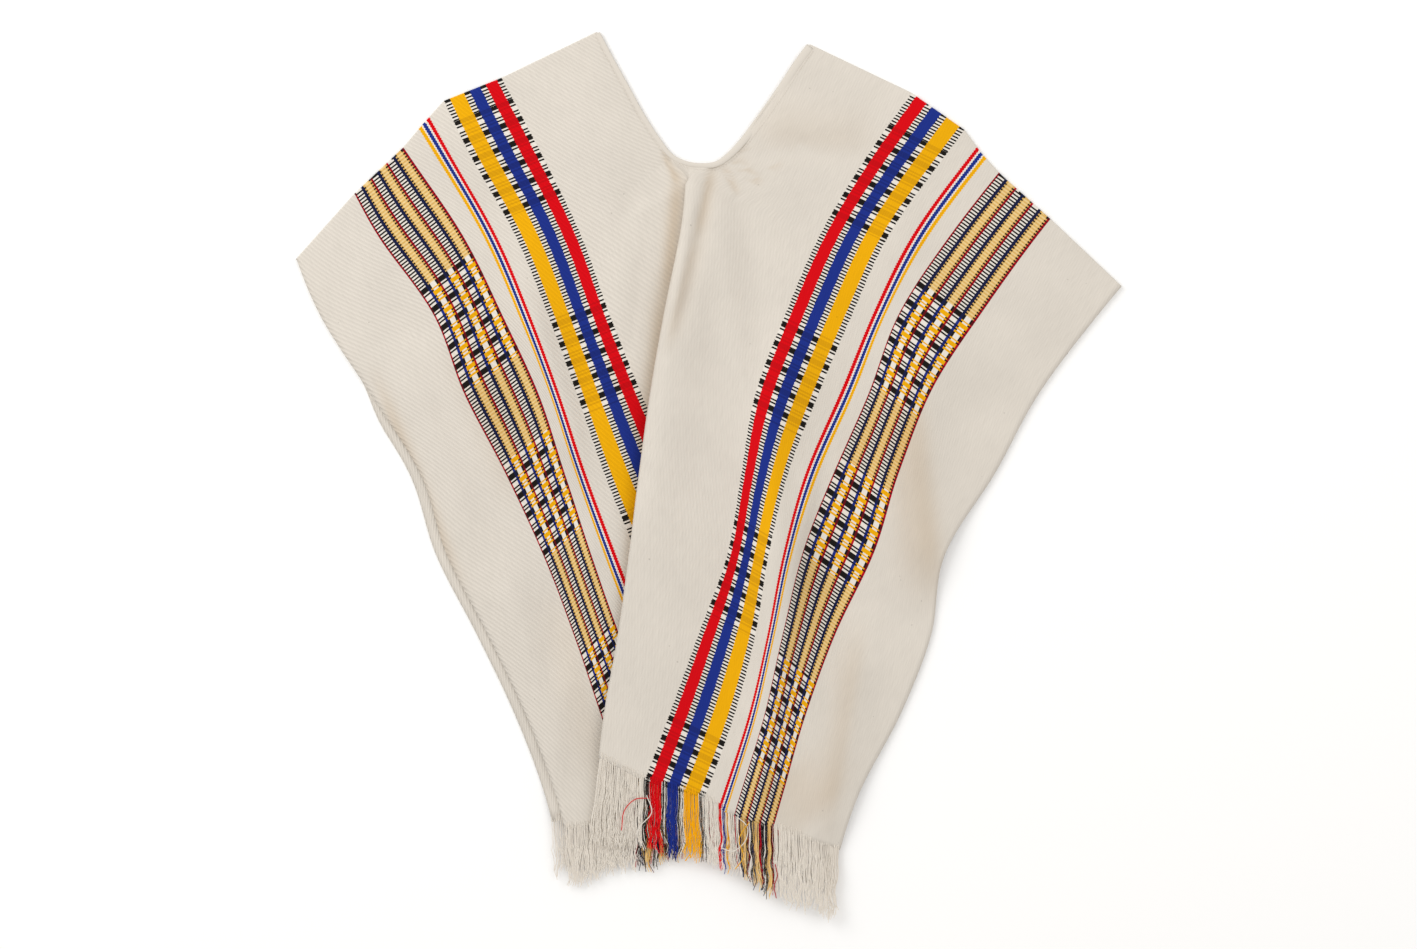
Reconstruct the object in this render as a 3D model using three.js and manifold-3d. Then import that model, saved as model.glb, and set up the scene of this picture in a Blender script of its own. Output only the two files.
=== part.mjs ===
// A woven poncho laid flat: one cloth folded over the shoulders, a rolled neck slit and fringed hems.
// Millimetres, +Z up, the floor at z = 0. The wearer's left and right are named as seen from above.
import * as THREE from "three";
import { mergeVertices } from "three/addons/utils/BufferGeometryUtils.js";
import Module from "manifold-3d";

const wasm = await Module();
wasm.setup();

// Driving sizes
const wall = 1.2; // thickness of the cloth
const pitch = 2.4; // height from one lying layer to the next
const foldRadius = pitch / 2;
const halfLength = 745; // cloth from the shoulder fold to a hem, along the warp
const slitLength = 165; // head slit below the shoulder fold, on each side of it
const seamGap = 0.3; // clearance between neighbouring pieces

// Cross sections of the laid front: at each height y, how far to the side each warp line lies
const leftSections = [
  { y: 400, selvage: -473, brownOuter: -414, brownInner: -354, thinStripe: -314, flagOuter: -277, flagInner: -209 },
  { y: 320, selvage: -447, brownOuter: -374, brownInner: -300, thinStripe: -266, flagOuter: -239, flagInner: -167 },
  { y: 240, selvage: -421, brownOuter: -332, brownInner: -246, thinStripe: -220, flagOuter: -194, flagInner: -128 },
  { y: 160, selvage: -389, brownOuter: -275, brownInner: -206, thinStripe: -185, flagOuter: -161, flagInner: -99 },
  { y: 80, selvage: -338, brownOuter: -244, brownInner: -169, thinStripe: -155, flagOuter: -132, flagInner: -67 },
  { y: 0, selvage: -288, brownOuter: -203, brownInner: -143, thinStripe: -129, flagOuter: -104, flagInner: -32 },
  { y: -80, selvage: -262, brownOuter: -166, brownInner: -117, thinStripe: -100, flagOuter: -72, flagInner: -1 },
  { y: -160, selvage: -221, brownOuter: -135, brownInner: -89, thinStripe: -69, flagOuter: -41, flagInner: 28 },
  { y: -240, selvage: -183, brownOuter: -108, brownInner: -58, thinStripe: -36, flagOuter: -9, flagInner: 54 },
  { y: -320, selvage: -153, brownOuter: -81, brownInner: -27, thinStripe: -3, flagOuter: 24, flagInner: 79 },
  { y: -400, selvage: -133, brownOuter: -54, brownInner: 3, thinStripe: 30, flagOuter: 56, flagInner: 103 },
];
const rightSections = [
  { y: 400, flagInner: 216, flagOuter: 299, thinStripe: 336, brownInner: 376, brownOuter: 471, selvage: 591 },
  { y: 320, flagInner: 159, flagOuter: 237, thinStripe: 271, brownInner: 309, brownOuter: 401, selvage: 527 },
  { y: 240, flagInner: 111, flagOuter: 180, thinStripe: 212, brownInner: 246, brownOuter: 335, selvage: 457 },
  { y: 160, flagInner: 76, flagOuter: 143, thinStripe: 171, brownInner: 192, brownOuter: 277, selvage: 389 },
  { y: 80, flagInner: 46, flagOuter: 109, thinStripe: 138, brownInner: 162, brownOuter: 224, selvage: 329 },
  { y: 0, flagInner: 32, flagOuter: 78, thinStripe: 102, brownInner: 127, brownOuter: 193, selvage: 285 },
  { y: -80, flagInner: 18, flagOuter: 59, thinStripe: 78, brownInner: 94, brownOuter: 169, selvage: 235 },
  { y: -160, flagInner: -11, flagOuter: 46, thinStripe: 62, brownInner: 74, brownOuter: 130, selvage: 222 },
  { y: -240, flagInner: -40, flagOuter: 25, thinStripe: 44, brownInner: 56, brownOuter: 99, selvage: 191 },
  { y: -320, flagInner: -70, flagOuter: -4, thinStripe: 19, brownInner: 32, brownOuter: 76, selvage: 149 },
  { y: -400, flagInner: -99, flagOuter: -37, thinStripe: -7, brownInner: 10, brownOuter: 53, selvage: 123 },
];
// The visible edge of the centre pleat, where the right half lies over the left
const pleatSections = [
  { y: 304, upper: -21 },
  { y: 272, upper: -23 },
  { y: 240, upper: -27 },
  { y: 160, upper: -43 },
  { y: 80, upper: -57 },
  { y: 0, upper: -68 },
  { y: -80, upper: -78 },
  { y: -160, upper: -89 },
  { y: -240, upper: -103 },
  { y: -320, upper: -112 },
];
const pleatDepthAtHem = 198; // how far the cloth runs back under the visible edge at the hem
// The neckline from the left shoulder peak, round the bottom of the slit, to the right shoulder peak
const neckline = [
  { x: -109, y: 442 }, { x: -97, y: 419 }, { x: -80, y: 388 }, { x: -64, y: 359 }, { x: -49, y: 336 },
  { x: -36, y: 320 }, { x: -22, y: 313 }, { x: -6, y: 311 }, { x: 7, y: 313 }, { x: 18, y: 321 },
  { x: 31, y: 335 }, { x: 48, y: 358 }, { x: 69, y: 388 }, { x: 86, y: 414 }, { x: 98, y: 430 },
];
const slitBottomHalfWidth = 16;
const slitBottomX = -19;

// Where each warp line meets the shoulder fold and the hem
const shoulderY = {
  left: { flagInner: 395, flagOuter: 372, thinStripe: 350, brownInner: 326, brownOuter: 279, selvage: 214 },
  right: { flagInner: 380, flagOuter: 343, thinStripe: 320, brownInner: 298, brownOuter: 251, selvage: 187 },
};
const hemY = {
  left: { flagInner: -305, flagOuter: -317, thinStripe: -322, brownInner: -327, brownOuter: -340, selvage: -355 },
  right: { flagInner: -305, flagOuter: -322, thinStripe: -335, brownInner: -340, brownOuter: -353, selvage: -375 },
};
const pleatHemY = { upper: -282, lower: -300 };

// Soft folds that stand up from the laid front, from one end to the other, steeper on one side
const frontFolds = [
  { x1: -20, y1: 250, x2: -60, y2: -60, height: 9, leftWidth: 18, rightWidth: 34, half: "right" },
  { x1: 72, y1: 130, x2: 52, y2: -150, height: 15, leftWidth: 20, rightWidth: 26, half: "right" },
  { x1: 100, y1: 10, x2: 40, y2: -360, height: 16, leftWidth: 30, rightWidth: 13, half: "right" },
  { x1: 190, y1: 120, x2: 215, y2: -110, height: 14, leftWidth: 18, rightWidth: 36, half: "right" },
  { x1: 150, y1: 330, x2: 250, y2: 60, height: 7, leftWidth: 40, rightWidth: 40, half: "right" },
  { x1: 150, y1: -150, x2: 120, y2: -360, height: 9, leftWidth: 22, rightWidth: 26, half: "right" },
  { x1: -190, y1: 190, x2: -120, y2: -10, height: 12, leftWidth: 24, rightWidth: 18, half: "left" },
  { x1: -285, y1: 210, x2: -210, y2: 60, height: 11, leftWidth: 26, rightWidth: 20, half: "left" },
  { x1: -320, y1: 110, x2: -255, y2: -90, height: 13, leftWidth: 16, rightWidth: 34, half: "left" },
  { x1: -215, y1: -80, x2: -160, y2: -330, height: 9, leftWidth: 22, rightWidth: 30, half: "left" },
  { x1: -120, y1: 330, x2: -75, y2: 130, height: 7, leftWidth: 34, rightWidth: 30, half: "left" },
];
// How a fold runs out past its ends, as shares of its length, and how the folds fade towards other shapes
const foldEnds = { beyond: 0.15, fade: 0.4 };
const foldFade = { besidePleat: 70, reach: 45, shoulderShare: 0.08 };
// The rolled edge of the centre pleat stands above the layers below it, fully so some way below the slit
const pleatEdgeLift = { height: 7, reach: 150 };

// Neck hem
const neckHem = { width: 5, frontThickness: 2.2, backThickness: 1.4, frontRise: 0.3, sides: 6, turnSteps: 4 };

// Fringe: one backing strip for each layer of a hem
const fringeStrip = { depth: 4, thickness: 1.2 };
const lock = {
  rootRadius: 0.56, tipRadius: 0.42, flatness: 2, sides: 3, segments: 2, sway: 2.2, swayWave: 0.11,
};
const lockTip = { height: 0.8, perLayer: 1.75 }; // tips lie just above the floor, each layer's on the last
const lockWaves = [{ size: 5, step: 1.7 }, { size: 3, step: 0.6 }]; // how the locks' lengths vary along a row
const fringeRows = [
  { layer: "frontRight", locks: 60, length: 66 },
  { layer: "frontMiddle", locks: 12, length: 62 },
  { layer: "frontLeft", locks: 44, length: 58 },
  { layer: "backRight", locks: 26, length: 62 },
  { layer: "backMiddle", locks: 12, length: 60 },
  { layer: "backLeft", locks: 26, length: 56 },
];

// The hidden back panel lies just inside the front, but shows past its left selvage
const backPanel = {
  leftSelvageOut: 11, rightSelvageIn: 6, hemUp: 8, pleatIn: 8, pleatFade: 0.2, startsShowing: 100, fade: 60,
};

// Grid of the cloth
const spans = [
  { from: "selvage", to: "brownOuter", steps: 3 },
  { from: "brownOuter", to: "brownInner", steps: 2 },
  { from: "brownInner", to: "thinStripe", steps: 1 },
  { from: "thinStripe", to: "flagOuter", steps: 1 },
  { from: "flagOuter", to: "flagInner", steps: 2 },
  { from: "flagInner", to: "inner", steps: 3 },
];
const slitRows = 6; // rows from the shoulder fold to the bottom of the slit, closer together towards it
const slitRowCrowding = 1.6;
const turnRows = 12; // rows from there to where the pleat has turned over
const foldedRows = 10; // rows from there to the hem
const arcSteps = 4; // steps round each folded edge
const middleSteps = 3; // steps across the hidden middle layer of the pleat
// Below the slit both edges of the pleat turn over, and the row leaves the neckline's round shape
const pleatOpening = { turn: 42, gather: 20, middleShare: 0.27, sharpness: 3, layers: 2 };
// How far beside the pleat a layer climbs onto it: from its visible edge, and from its hidden one
const layerRamp = { left: 70, leftReach: 30, right: 15, rightReach: 40 };
const lineSamples = 60;

const slitFraction = slitLength / halfLength;
const clamp01 = (t) => Math.min(1, Math.max(0, t));
const smooth = (t) => clamp01(t) ** 2 * (3 - 2 * clamp01(t));
const mix = (a, b, t) => a + (b - a) * t;
const mixPoint = (a, b, t) => ({ x: mix(a.x, b.x, t), y: mix(a.y, b.y, t) });

// The value of one column of a section table at height y, smooth from row to row
function sectionAt(table, name, y) {
  const last = table.length - 1;
  let row = 0;
  while (row < last - 1 && y < table[row + 1].y) row += 1;
  const a = table[row];
  const b = table[row + 1];
  const before = table[Math.max(0, row - 1)];
  const after = table[Math.min(last, row + 2)];
  const slopeA = (b[name] - before[name]) / (b.y - before.y);
  const slopeB = (after[name] - a[name]) / (after.y - a.y);
  const t = (y - a.y) / (b.y - a.y);
  const span = b.y - a.y;
  const low = (2 * t ** 3 - 3 * t ** 2 + 1) * a[name] + (t ** 3 - 2 * t ** 2 + t) * span * slopeA;
  return low + (3 * t ** 2 - 2 * t ** 3) * b[name] + (t ** 3 - t ** 2) * span * slopeB;
}

// Finds the place on a row of points at a share of its length: the segment and how far along it
function byLength(points) {
  const lengths = [0];
  for (let i = 1; i < points.length; i += 1) {
    lengths.push(lengths[i - 1] + Math.hypot(points[i].x - points[i - 1].x, points[i].y - points[i - 1].y));
  }
  return (share) => {
    const wanted = clamp01(share) * lengths.at(-1);
    let i = 1;
    while (i < points.length - 1 && lengths[i] < wanted) i += 1;
    return { segment: i - 1, along: (wanted - lengths[i - 1]) / (lengths[i] - lengths[i - 1]) };
  };
}

// A line down the cloth, x being a function of y, as a curve over the share of its length
function lengthwise(xAt, yTop, yBottom) {
  const points = Array.from({ length: lineSamples + 1 }, (_, i) => {
    const y = mix(yTop, yBottom, i / lineSamples);
    return { x: xAt(y), y };
  });
  const find = byLength(points);
  return (share) => {
    const { segment, along } = find(share);
    return mixPoint(points[segment], points[segment + 1], along);
  };
}

// The neckline as a curve, moved into the cloth by inset
const neckPoints = neckline.map((p) => new THREE.Vector3(p.x, p.y, 0));
const neckCurve = new THREE.CatmullRomCurve3(neckPoints, false, "centripetal");
function neckPoint(t, inset) {
  const p = neckCurve.getPointAt(clamp01(t));
  const along = neckCurve.getTangentAt(clamp01(t));
  return { x: p.x + along.y * inset, y: p.y - along.x * inset };
}
function neckShareAt(x) {
  let low = 0;
  let high = 1;
  for (let i = 0; i < 40; i += 1) {
    const middle = (low + high) / 2;
    if (neckCurve.getPointAt(middle).x < x) low = middle;
    else high = middle;
  }
  return low;
}
const slitShare = {
  left: neckShareAt(slitBottomX - slitBottomHalfWidth),
  right: neckShareAt(slitBottomX + slitBottomHalfWidth),
};
const clothInset = neckHem.width + 2.5 * seamGap; // clear of the hem also where the pleat starts to rise
const slitBottom = neckPoint(neckShareAt(slitBottomX), clothInset);

// The cloth between the ends of the slit's round bottom, which the pleat takes up
const spread = {
  left: neckPoint(slitShare.left, clothInset),
  right: neckPoint(slitShare.right, clothInset),
};
const spreadWidth = spread.right.x - spread.left.x;

// The section of the pleat at a place y: both edges turn by the same angle, with a straight middle between.
// rise is the number of layers that it climbs. Its length follows from the angle and the rise, and is the
// width of the slit's round bottom where the turn starts.
function pleatTurn(y) {
  const { turn, middleShare, sharpness, layers } = pleatOpening;
  const turned = Math.max(0.001, smooth((slitBottom.y - y) / turn));
  const slow = (2 * layers * pitch) / ((1 + middleShare) * Math.PI * spreadWidth);
  const angle = Math.PI * (slow * turned + (1 - slow) * turned ** sharpness);
  const rise = layers * turned;
  const arcs = ((1 - middleShare) * (1 - Math.cos(angle))) / angle;
  const length = (rise * pitch) / (arcs + middleShare * Math.sin(angle));
  return { angle, rise, radius: ((1 - middleShare) * length) / (2 * angle), middle: middleShare * length };
}

// The two edges of the pleat in one panel: the upper one shows, the lower one lies hidden on its right
function pleatEdge(panel, edge) {
  const inward = panel === "back" ? backPanel.pleatIn : 0;
  const hem = pleatHemY[edge] + (panel === "back" ? backPanel.hemUp : 0);
  const foldedBelow = slitBottom.y - pleatOpening.turn;
  const xAt = (y) => {
    const down = clamp01((foldedBelow - y) / (foldedBelow - pleatHemY.lower));
    const upper = sectionAt(pleatSections, "upper", y) + inward * smooth(down / backPanel.pleatFade);
    return edge === "upper" ? upper : upper + 2 * foldRadius + (pleatDepthAtHem - 2 * inward) * down;
  };
  return { at: lengthwise(xAt, slitBottom.y, hem), xAt };
}

// A warp line of one half of one panel, from the shoulder fold to the hem
function warpLine(panel, side, name) {
  const table = side === "left" ? leftSections : rightSections;
  const isBack = panel === "back";
  const out = side === "left" ? -backPanel.leftSelvageOut : -backPanel.rightSelvageIn;
  const moved = isBack && name === "selvage" ? out : 0;
  const xAt = (y) => sectionAt(table, name, y) + moved * smooth((backPanel.startsShowing - y) / backPanel.fade);
  return lengthwise(xAt, shoulderY[side][name], hemY[side][name] + (isBack ? backPanel.hemUp : 0));
}

// Heights. Level 0 lies on the floor and each further layer is one pitch above the last
const zAt = (level) => wall / 2 + pitch * level;

// The level of a lying layer: where the pleat has folded over, each half stands on the layers below it
function layerLevel(panel, side, x, y, edges, rise) {
  const fromLeft = smooth((x - (edges.upper.xAt(y) - layerRamp.left)) / layerRamp.leftReach);
  const fromRight = 1 - smooth((x - (edges.lower.xAt(y) + layerRamp.right)) / layerRamp.rightReach);
  if (panel === "back") return side === "left" ? rise * fromLeft : 0;
  return side === "left" ? 1 + rise * fromLeft : 1 + 2 * rise * fromRight;
}

// Height that the soft folds add to the front at a point
function foldRelief(side, x, y) {
  const { beyond, fade } = foldEnds;
  let height = 0;
  for (const fold of frontFolds) {
    if (fold.half !== side) continue;
    const dx = fold.x2 - fold.x1;
    const dy = fold.y2 - fold.y1;
    const length = Math.hypot(dx, dy);
    const along = ((x - fold.x1) * dx + (y - fold.y1) * dy) / length ** 2;
    const aside = ((x - fold.x1) * dy - (y - fold.y1) * dx) / -length;
    const width = aside < 0 ? fold.leftWidth : fold.rightWidth;
    const ends = smooth((along + beyond) / fade) * smooth((1 + beyond - along) / fade);
    height += fold.height * ends * Math.exp(-((aside / width) ** 2));
  }
  return height;
}

function pleatLift(x, y, edges) {
  const upper = edges.upper.xAt(y);
  const across = clamp01((x - upper) / (edges.lower.xAt(y) - upper));
  const { height, reach } = pleatEdgeLift;
  return height * smooth((slitBottom.y - pleatOpening.turn - y) / reach) * (1 - across);
}

// The cloth across one row of one half, from the selvage to the neckline or the pleat
function halfRow(panel, side, lines, edges, share) {
  const rise = share > slitFraction ? pleatTurn(pleatCentre(edges, share).y).rise : 0;
  const row = [];
  const inner = innerPoint(panel, side, edges, share);
  const at = (name) => (name === "inner" ? inner : lines[name](share));
  for (const span of spans) {
    const from = at(span.from);
    const to = at(span.to);
    for (let i = row.length === 0 ? 0 : 1; i <= span.steps; i += 1) row.push(mixPoint(from, to, i / span.steps));
  }
  return row.map((p) => {
    const z = zAt(layerLevel(panel, side, p.x, p.y, edges, rise));
    if (panel === "back") return { ...p, z };
    const upper = edges.upper.xAt(p.y);
    const clear = side === "left" ? 1 - smooth((p.x - (upper - foldFade.besidePleat)) / foldFade.reach) : 1;
    const atPleat = p.y > slitBottom.y ? 1 : clear;
    const nearEnds = smooth(share / foldFade.shoulderShare);
    const lift = side === "right" ? pleatLift(p.x, p.y, edges) : 0;
    return { ...p, z: z + lift + foldRelief(side, p.x, p.y) * atPleat * nearEnds };
  });
}

function innerPoint(panel, side, edges, share) {
  if (share < slitFraction) {
    const down = share / slitFraction;
    return neckPoint(side === "left" ? slitShare.left * down : 1 - (1 - slitShare.right) * down, clothInset);
  }
  const row = pleatRow(panel, edges, share);
  return side === "left" ? row[0] : row[row.length - 1];
}

function pleatCentre(edges, share) {
  const below = (share - slitFraction) / (1 - slitFraction);
  return mixPoint(edges.upper.at(below), edges.lower.at(below), 0.5);
}

// The places across the pleat of its points, from 0 at the left end to 1 at the right
function acrossPleat() {
  const side = (1 - pleatOpening.middleShare) / 2;
  const places = [];
  for (let i = 0; i <= arcSteps; i += 1) places.push((side * i) / arcSteps);
  for (let i = 1; i < middleSteps; i += 1) places.push(side + (pleatOpening.middleShare * i) / middleSteps);
  for (let i = 0; i <= arcSteps; i += 1) places.push(1 - side + (side * i) / arcSteps);
  return places;
}

// The folded part of one row: round the lower edge, back under, and round the upper edge.
// Near the slit its points still follow the neckline.
function pleatRow(panel, edges, share) {
  const below = (share - slitFraction) / (1 - slitFraction);
  const upper = edges.upper.at(below);
  const lower = edges.lower.at(below);
  const centre = pleatCentre(edges, share);
  const { angle, rise, radius, middle } = pleatTurn(centre.y);
  const straight = middle + Math.max(0, lower.x - upper.x - 2 * foldRadius);
  const arc = { x: radius * Math.sin(angle), z: radius * (1 - Math.cos(angle)) };
  const run = { x: straight * Math.cos(angle), z: straight * Math.sin(angle) };
  const start = centre.x - arc.x - run.x / 2;
  const end = { x: start + 2 * arc.x + run.x, z: 2 * arc.z + run.z };
  const points = [];
  for (let i = 0; i <= arcSteps; i += 1) {
    const at = (angle * i) / arcSteps;
    points.push({ x: start + radius * Math.sin(at), y: lower.y, z: radius * (1 - Math.cos(at)) });
  }
  for (let i = 1; i < middleSteps; i += 1) {
    const t = i / middleSteps;
    points.push({ x: start + arc.x + run.x * t, y: mix(lower.y, upper.y, t), z: arc.z + run.z * t });
  }
  for (let i = arcSteps; i >= 0; i -= 1) {
    const at = (angle * i) / arcSteps;
    points.push({ x: end.x - radius * Math.sin(at), y: upper.y, z: end.z - radius * (1 - Math.cos(at)) });
  }
  const onNeck = 1 - smooth((slitBottom.y - centre.y) / pleatOpening.gather);
  const top = mixPoint(edges.upper.at(0), edges.lower.at(0), 0.5);
  const places = acrossPleat();
  return points.map((p, i) => {
    const flat = neckPoint(mix(slitShare.left, slitShare.right, places[i]), clothInset);
    const straightX = top.x + spreadWidth * (places[i] - 0.5);
    const x = p.x + (flat.x - straightX) * onNeck;
    const y = p.y + (flat.y - slitBottom.y) * onNeck;
    if (panel === "back") return { x, y, z: zAt(rise) - p.z };
    return { x, y, z: zAt(1 + rise) + p.z + (i > arcSteps ? pleatLift(x, y, edges) : 0) };
  });
}

// How far down the slit a row lies, from 0 at the shoulder fold to 1 at its bottom
function slitDown(row) {
  return 1 - (1 - row / slitRows) ** slitRowCrowding;
}

// One panel as rows from the shoulder fold to the hem
function panelRows(panel) {
  const edges = { upper: pleatEdge(panel, "upper"), lower: pleatEdge(panel, "lower") };
  const linesOf = (side) => Object.fromEntries(
    Object.keys(shoulderY[side]).map((name) => [name, warpLine(panel, side, name)]),
  );
  const lines = { left: linesOf("left"), right: linesOf("right") };
  const rows = [];
  const turnedAt = pleatOpening.turn / (slitBottom.y - pleatHemY.lower);
  for (let i = 0; i < slitRows + turnRows + foldedRows + 1; i += 1) {
    const inTurn = Math.max(0, i - slitRows) / turnRows;
    const below = inTurn < 1 ? turnedAt * inTurn : mix(turnedAt, 1, (i - slitRows - turnRows) / foldedRows);
    const share = i < slitRows ? slitFraction * slitDown(i) : mix(slitFraction, 1, below);
    const left = halfRow(panel, "left", lines.left, edges, share);
    const right = halfRow(panel, "right", lines.right, edges, share).reverse();
    rows.push({ left, pleat: i < slitRows ? null : pleatRow(panel, edges, share), right });
  }
  return rows;
}

// The rows that turn over the shoulders, between the first rows of the two panels
function shoulderTurn(firstRow) {
  const rows = [];
  for (const angle of [45, 0, -45].map(THREE.MathUtils.degToRad)) {
    const turn = (part) => part.map((p, i) => {
      const before = part[Math.max(0, i - 1)];
      const after = part[Math.min(part.length - 1, i + 1)];
      const length = Math.hypot(after.x - before.x, after.y - before.y);
      const out = { x: -(after.y - before.y) / length, y: (after.x - before.x) / length };
      const reach = foldRadius * Math.cos(angle);
      return { x: p.x + out.x * reach, y: p.y + out.y * reach, z: zAt(0.5) + foldRadius * Math.sin(angle) };
    });
    rows.push({ left: turn(firstRow.left), pleat: null, right: turn(firstRow.right) });
  }
  return rows;
}

// A closed wall on both sides of a sheet of triangles
function thicken(points, triangles, thickness) {
  const normals = points.map(() => new THREE.Vector3());
  const corners = points.map((p) => new THREE.Vector3(p.x, p.y, p.z));
  const edgeUse = new Map();
  for (const [a, b, c] of triangles) {
    const ab = corners[b].clone().sub(corners[a]);
    const face = ab.cross(corners[c].clone().sub(corners[a])).normalize();
    for (const i of [a, b, c]) normals[i].add(face);
    for (const [i, j] of [[a, b], [b, c], [c, a]]) edgeUse.set(`${i},${j}`, [i, j]);
  }
  const count = points.length;
  const positions = [];
  for (const side of [0.5, -0.5]) {
    corners.forEach((p, i) => {
      positions.push(...p.clone().addScaledVector(normals[i].normalize(), side * thickness));
    });
  }
  const faces = [];
  for (const [a, b, c] of triangles) faces.push(a, b, c, count + a, count + c, count + b);
  for (const [i, j] of edgeUse.values()) {
    if (edgeUse.has(`${j},${i}`)) continue;
    faces.push(i, count + i, j, j, count + i, count + j);
  }
  return indexedGeometry(positions, faces);
}

function indexedGeometry(positions, faces) {
  const geometry = new THREE.BufferGeometry();
  geometry.setAttribute("position", new THREE.Float32BufferAttribute(positions, 3));
  geometry.setIndex(faces);
  return geometry;
}

function clothGeometry(front, back) {
  const rows = [...front.slice().reverse(), ...shoulderTurn(front[0]), ...back];
  const points = [];
  const number = (part) => part && part.map((p) => points.push(p) - 1);
  const numbered = rows.map(({ left, pleat, right }) => ({
    left: number(left), pleat: number(pleat && pleat.slice(1, -1)), right: number(right),
  }));
  const strips = ({ left, pleat, right }) => (pleat ? [[...left, ...pleat, ...right]] : [left, right]);
  const triangles = [];
  for (let i = 1; i < numbered.length; i += 1) {
    const above = numbered[i - 1];
    const below = numbered[i];
    const whole = above.pleat && below.pleat;
    const upper = whole ? strips(above) : [above.left, above.right];
    const lower = whole ? strips(below) : [below.left, below.right];
    upper.forEach((strip, s) => {
      for (let k = 1; k < strip.length; k += 1) {
        triangles.push([strip[k - 1], strip[k], lower[s][k]], [strip[k - 1], lower[s][k], lower[s][k - 1]]);
      }
    });
  }
  return thicken(points, triangles, wall);
}

// A closed or capped bar through sections that all have the same number of corners
function loft(sections, closed) {
  const sides = sections[0].length;
  const positions = sections.flat().flatMap((p) => [p.x, p.y, p.z]);
  const faces = [];
  const joins = closed ? sections.length : sections.length - 1;
  for (let i = 0; i < joins; i += 1) {
    const a = i * sides;
    const b = ((i + 1) % sections.length) * sides;
    for (let k = 0; k < sides; k += 1) {
      const next = (k + 1) % sides;
      faces.push(a + k, a + next, b + next, a + k, b + next, b + k);
    }
  }
  if (!closed) {
    const last = (sections.length - 1) * sides;
    for (let k = 1; k < sides - 1; k += 1) faces.push(0, k + 1, k, last, last + k, last + k + 1);
  }
  return indexedGeometry(positions, faces);
}

// The places along the neckline of the cloth's own corners, so that the hem runs beside its edge
function neckShares() {
  const downs = Array.from({ length: slitRows }, (_, i) => slitDown(i));
  return [
    ...downs.map((down) => slitShare.left * down),
    ...acrossPleat().map((place) => mix(slitShare.left, slitShare.right, place)),
    ...downs.reverse().map((down) => 1 - (1 - slitShare.right) * down),
  ];
}

// The rolled hem: a flat oval bar round the whole slit, along the front and back along the panel below
function neckHemGeometry() {
  const path = [];
  const frontZ = zAt(1) + neckHem.frontRise;
  const backZ = neckHem.backThickness / 2;
  const add = (t, z, thickness, outward) => {
    const p = neckPoint(t, neckHem.width / 2);
    const q = neckPoint(t, 0);
    const wide = new THREE.Vector3(q.x - p.x, q.y - p.y, 0).normalize();
    const out = neckCurve.getTangentAt(t).multiplyScalar(t < 0.5 ? -outward : outward);
    path.push({ p: out.add(new THREE.Vector3(p.x, p.y, z)), wide, thickness });
  };
  const turn = (t, fromZ, toZ) => {
    for (let i = 1; i < neckHem.turnSteps; i += 1) {
      const angle = (Math.PI * i) / neckHem.turnSteps;
      add(t, mix(fromZ, toZ, (1 - Math.cos(angle)) / 2), neckHem.backThickness, Math.sin(angle) * foldRadius);
    }
  };
  const shares = neckShares();
  for (const t of shares) add(t, frontZ, neckHem.frontThickness, 0);
  turn(1, frontZ, backZ);
  for (const t of shares.reverse()) add(t, backZ, neckHem.backThickness, 0);
  turn(0, backZ, frontZ);
  const sections = path.map(({ p, wide, thickness }, i) => {
    const before = path[(i + path.length - 1) % path.length].p;
    const after = path[(i + 1) % path.length].p;
    const thick = after.clone().sub(before).cross(wide).normalize();
    return Array.from({ length: neckHem.sides }, (_, k) => {
      const angle = (2 * Math.PI * k) / neckHem.sides;
      return p.clone()
        .addScaledVector(wide, (Math.cos(angle) * neckHem.width) / 2)
        .addScaledVector(thick, (Math.sin(angle) * thickness) / 2);
    });
  });
  return loft(sections, true);
}

function toSolid(geometry) {
  const merged = mergeVertices(geometry);
  return new wasm.Manifold(new wasm.Mesh({
    numProp: 3,
    vertProperties: merged.attributes.position.array,
    triVerts: Uint32Array.from(merged.index.array),
  }));
}

function toGeometry(solid) {
  const { vertProperties, triVerts } = solid.getMesh();
  return indexedGeometry(Array.from(vertProperties), Array.from(triVerts));
}

// The hem edge of one layer, as points from left to right
function hemEdge(row, layer) {
  if (layer.endsWith("Left")) return row.left;
  if (layer.endsWith("Right")) return row.right;
  return row.pleat.slice(arcSteps, row.pleat.length - arcSteps).reverse();
}

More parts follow.
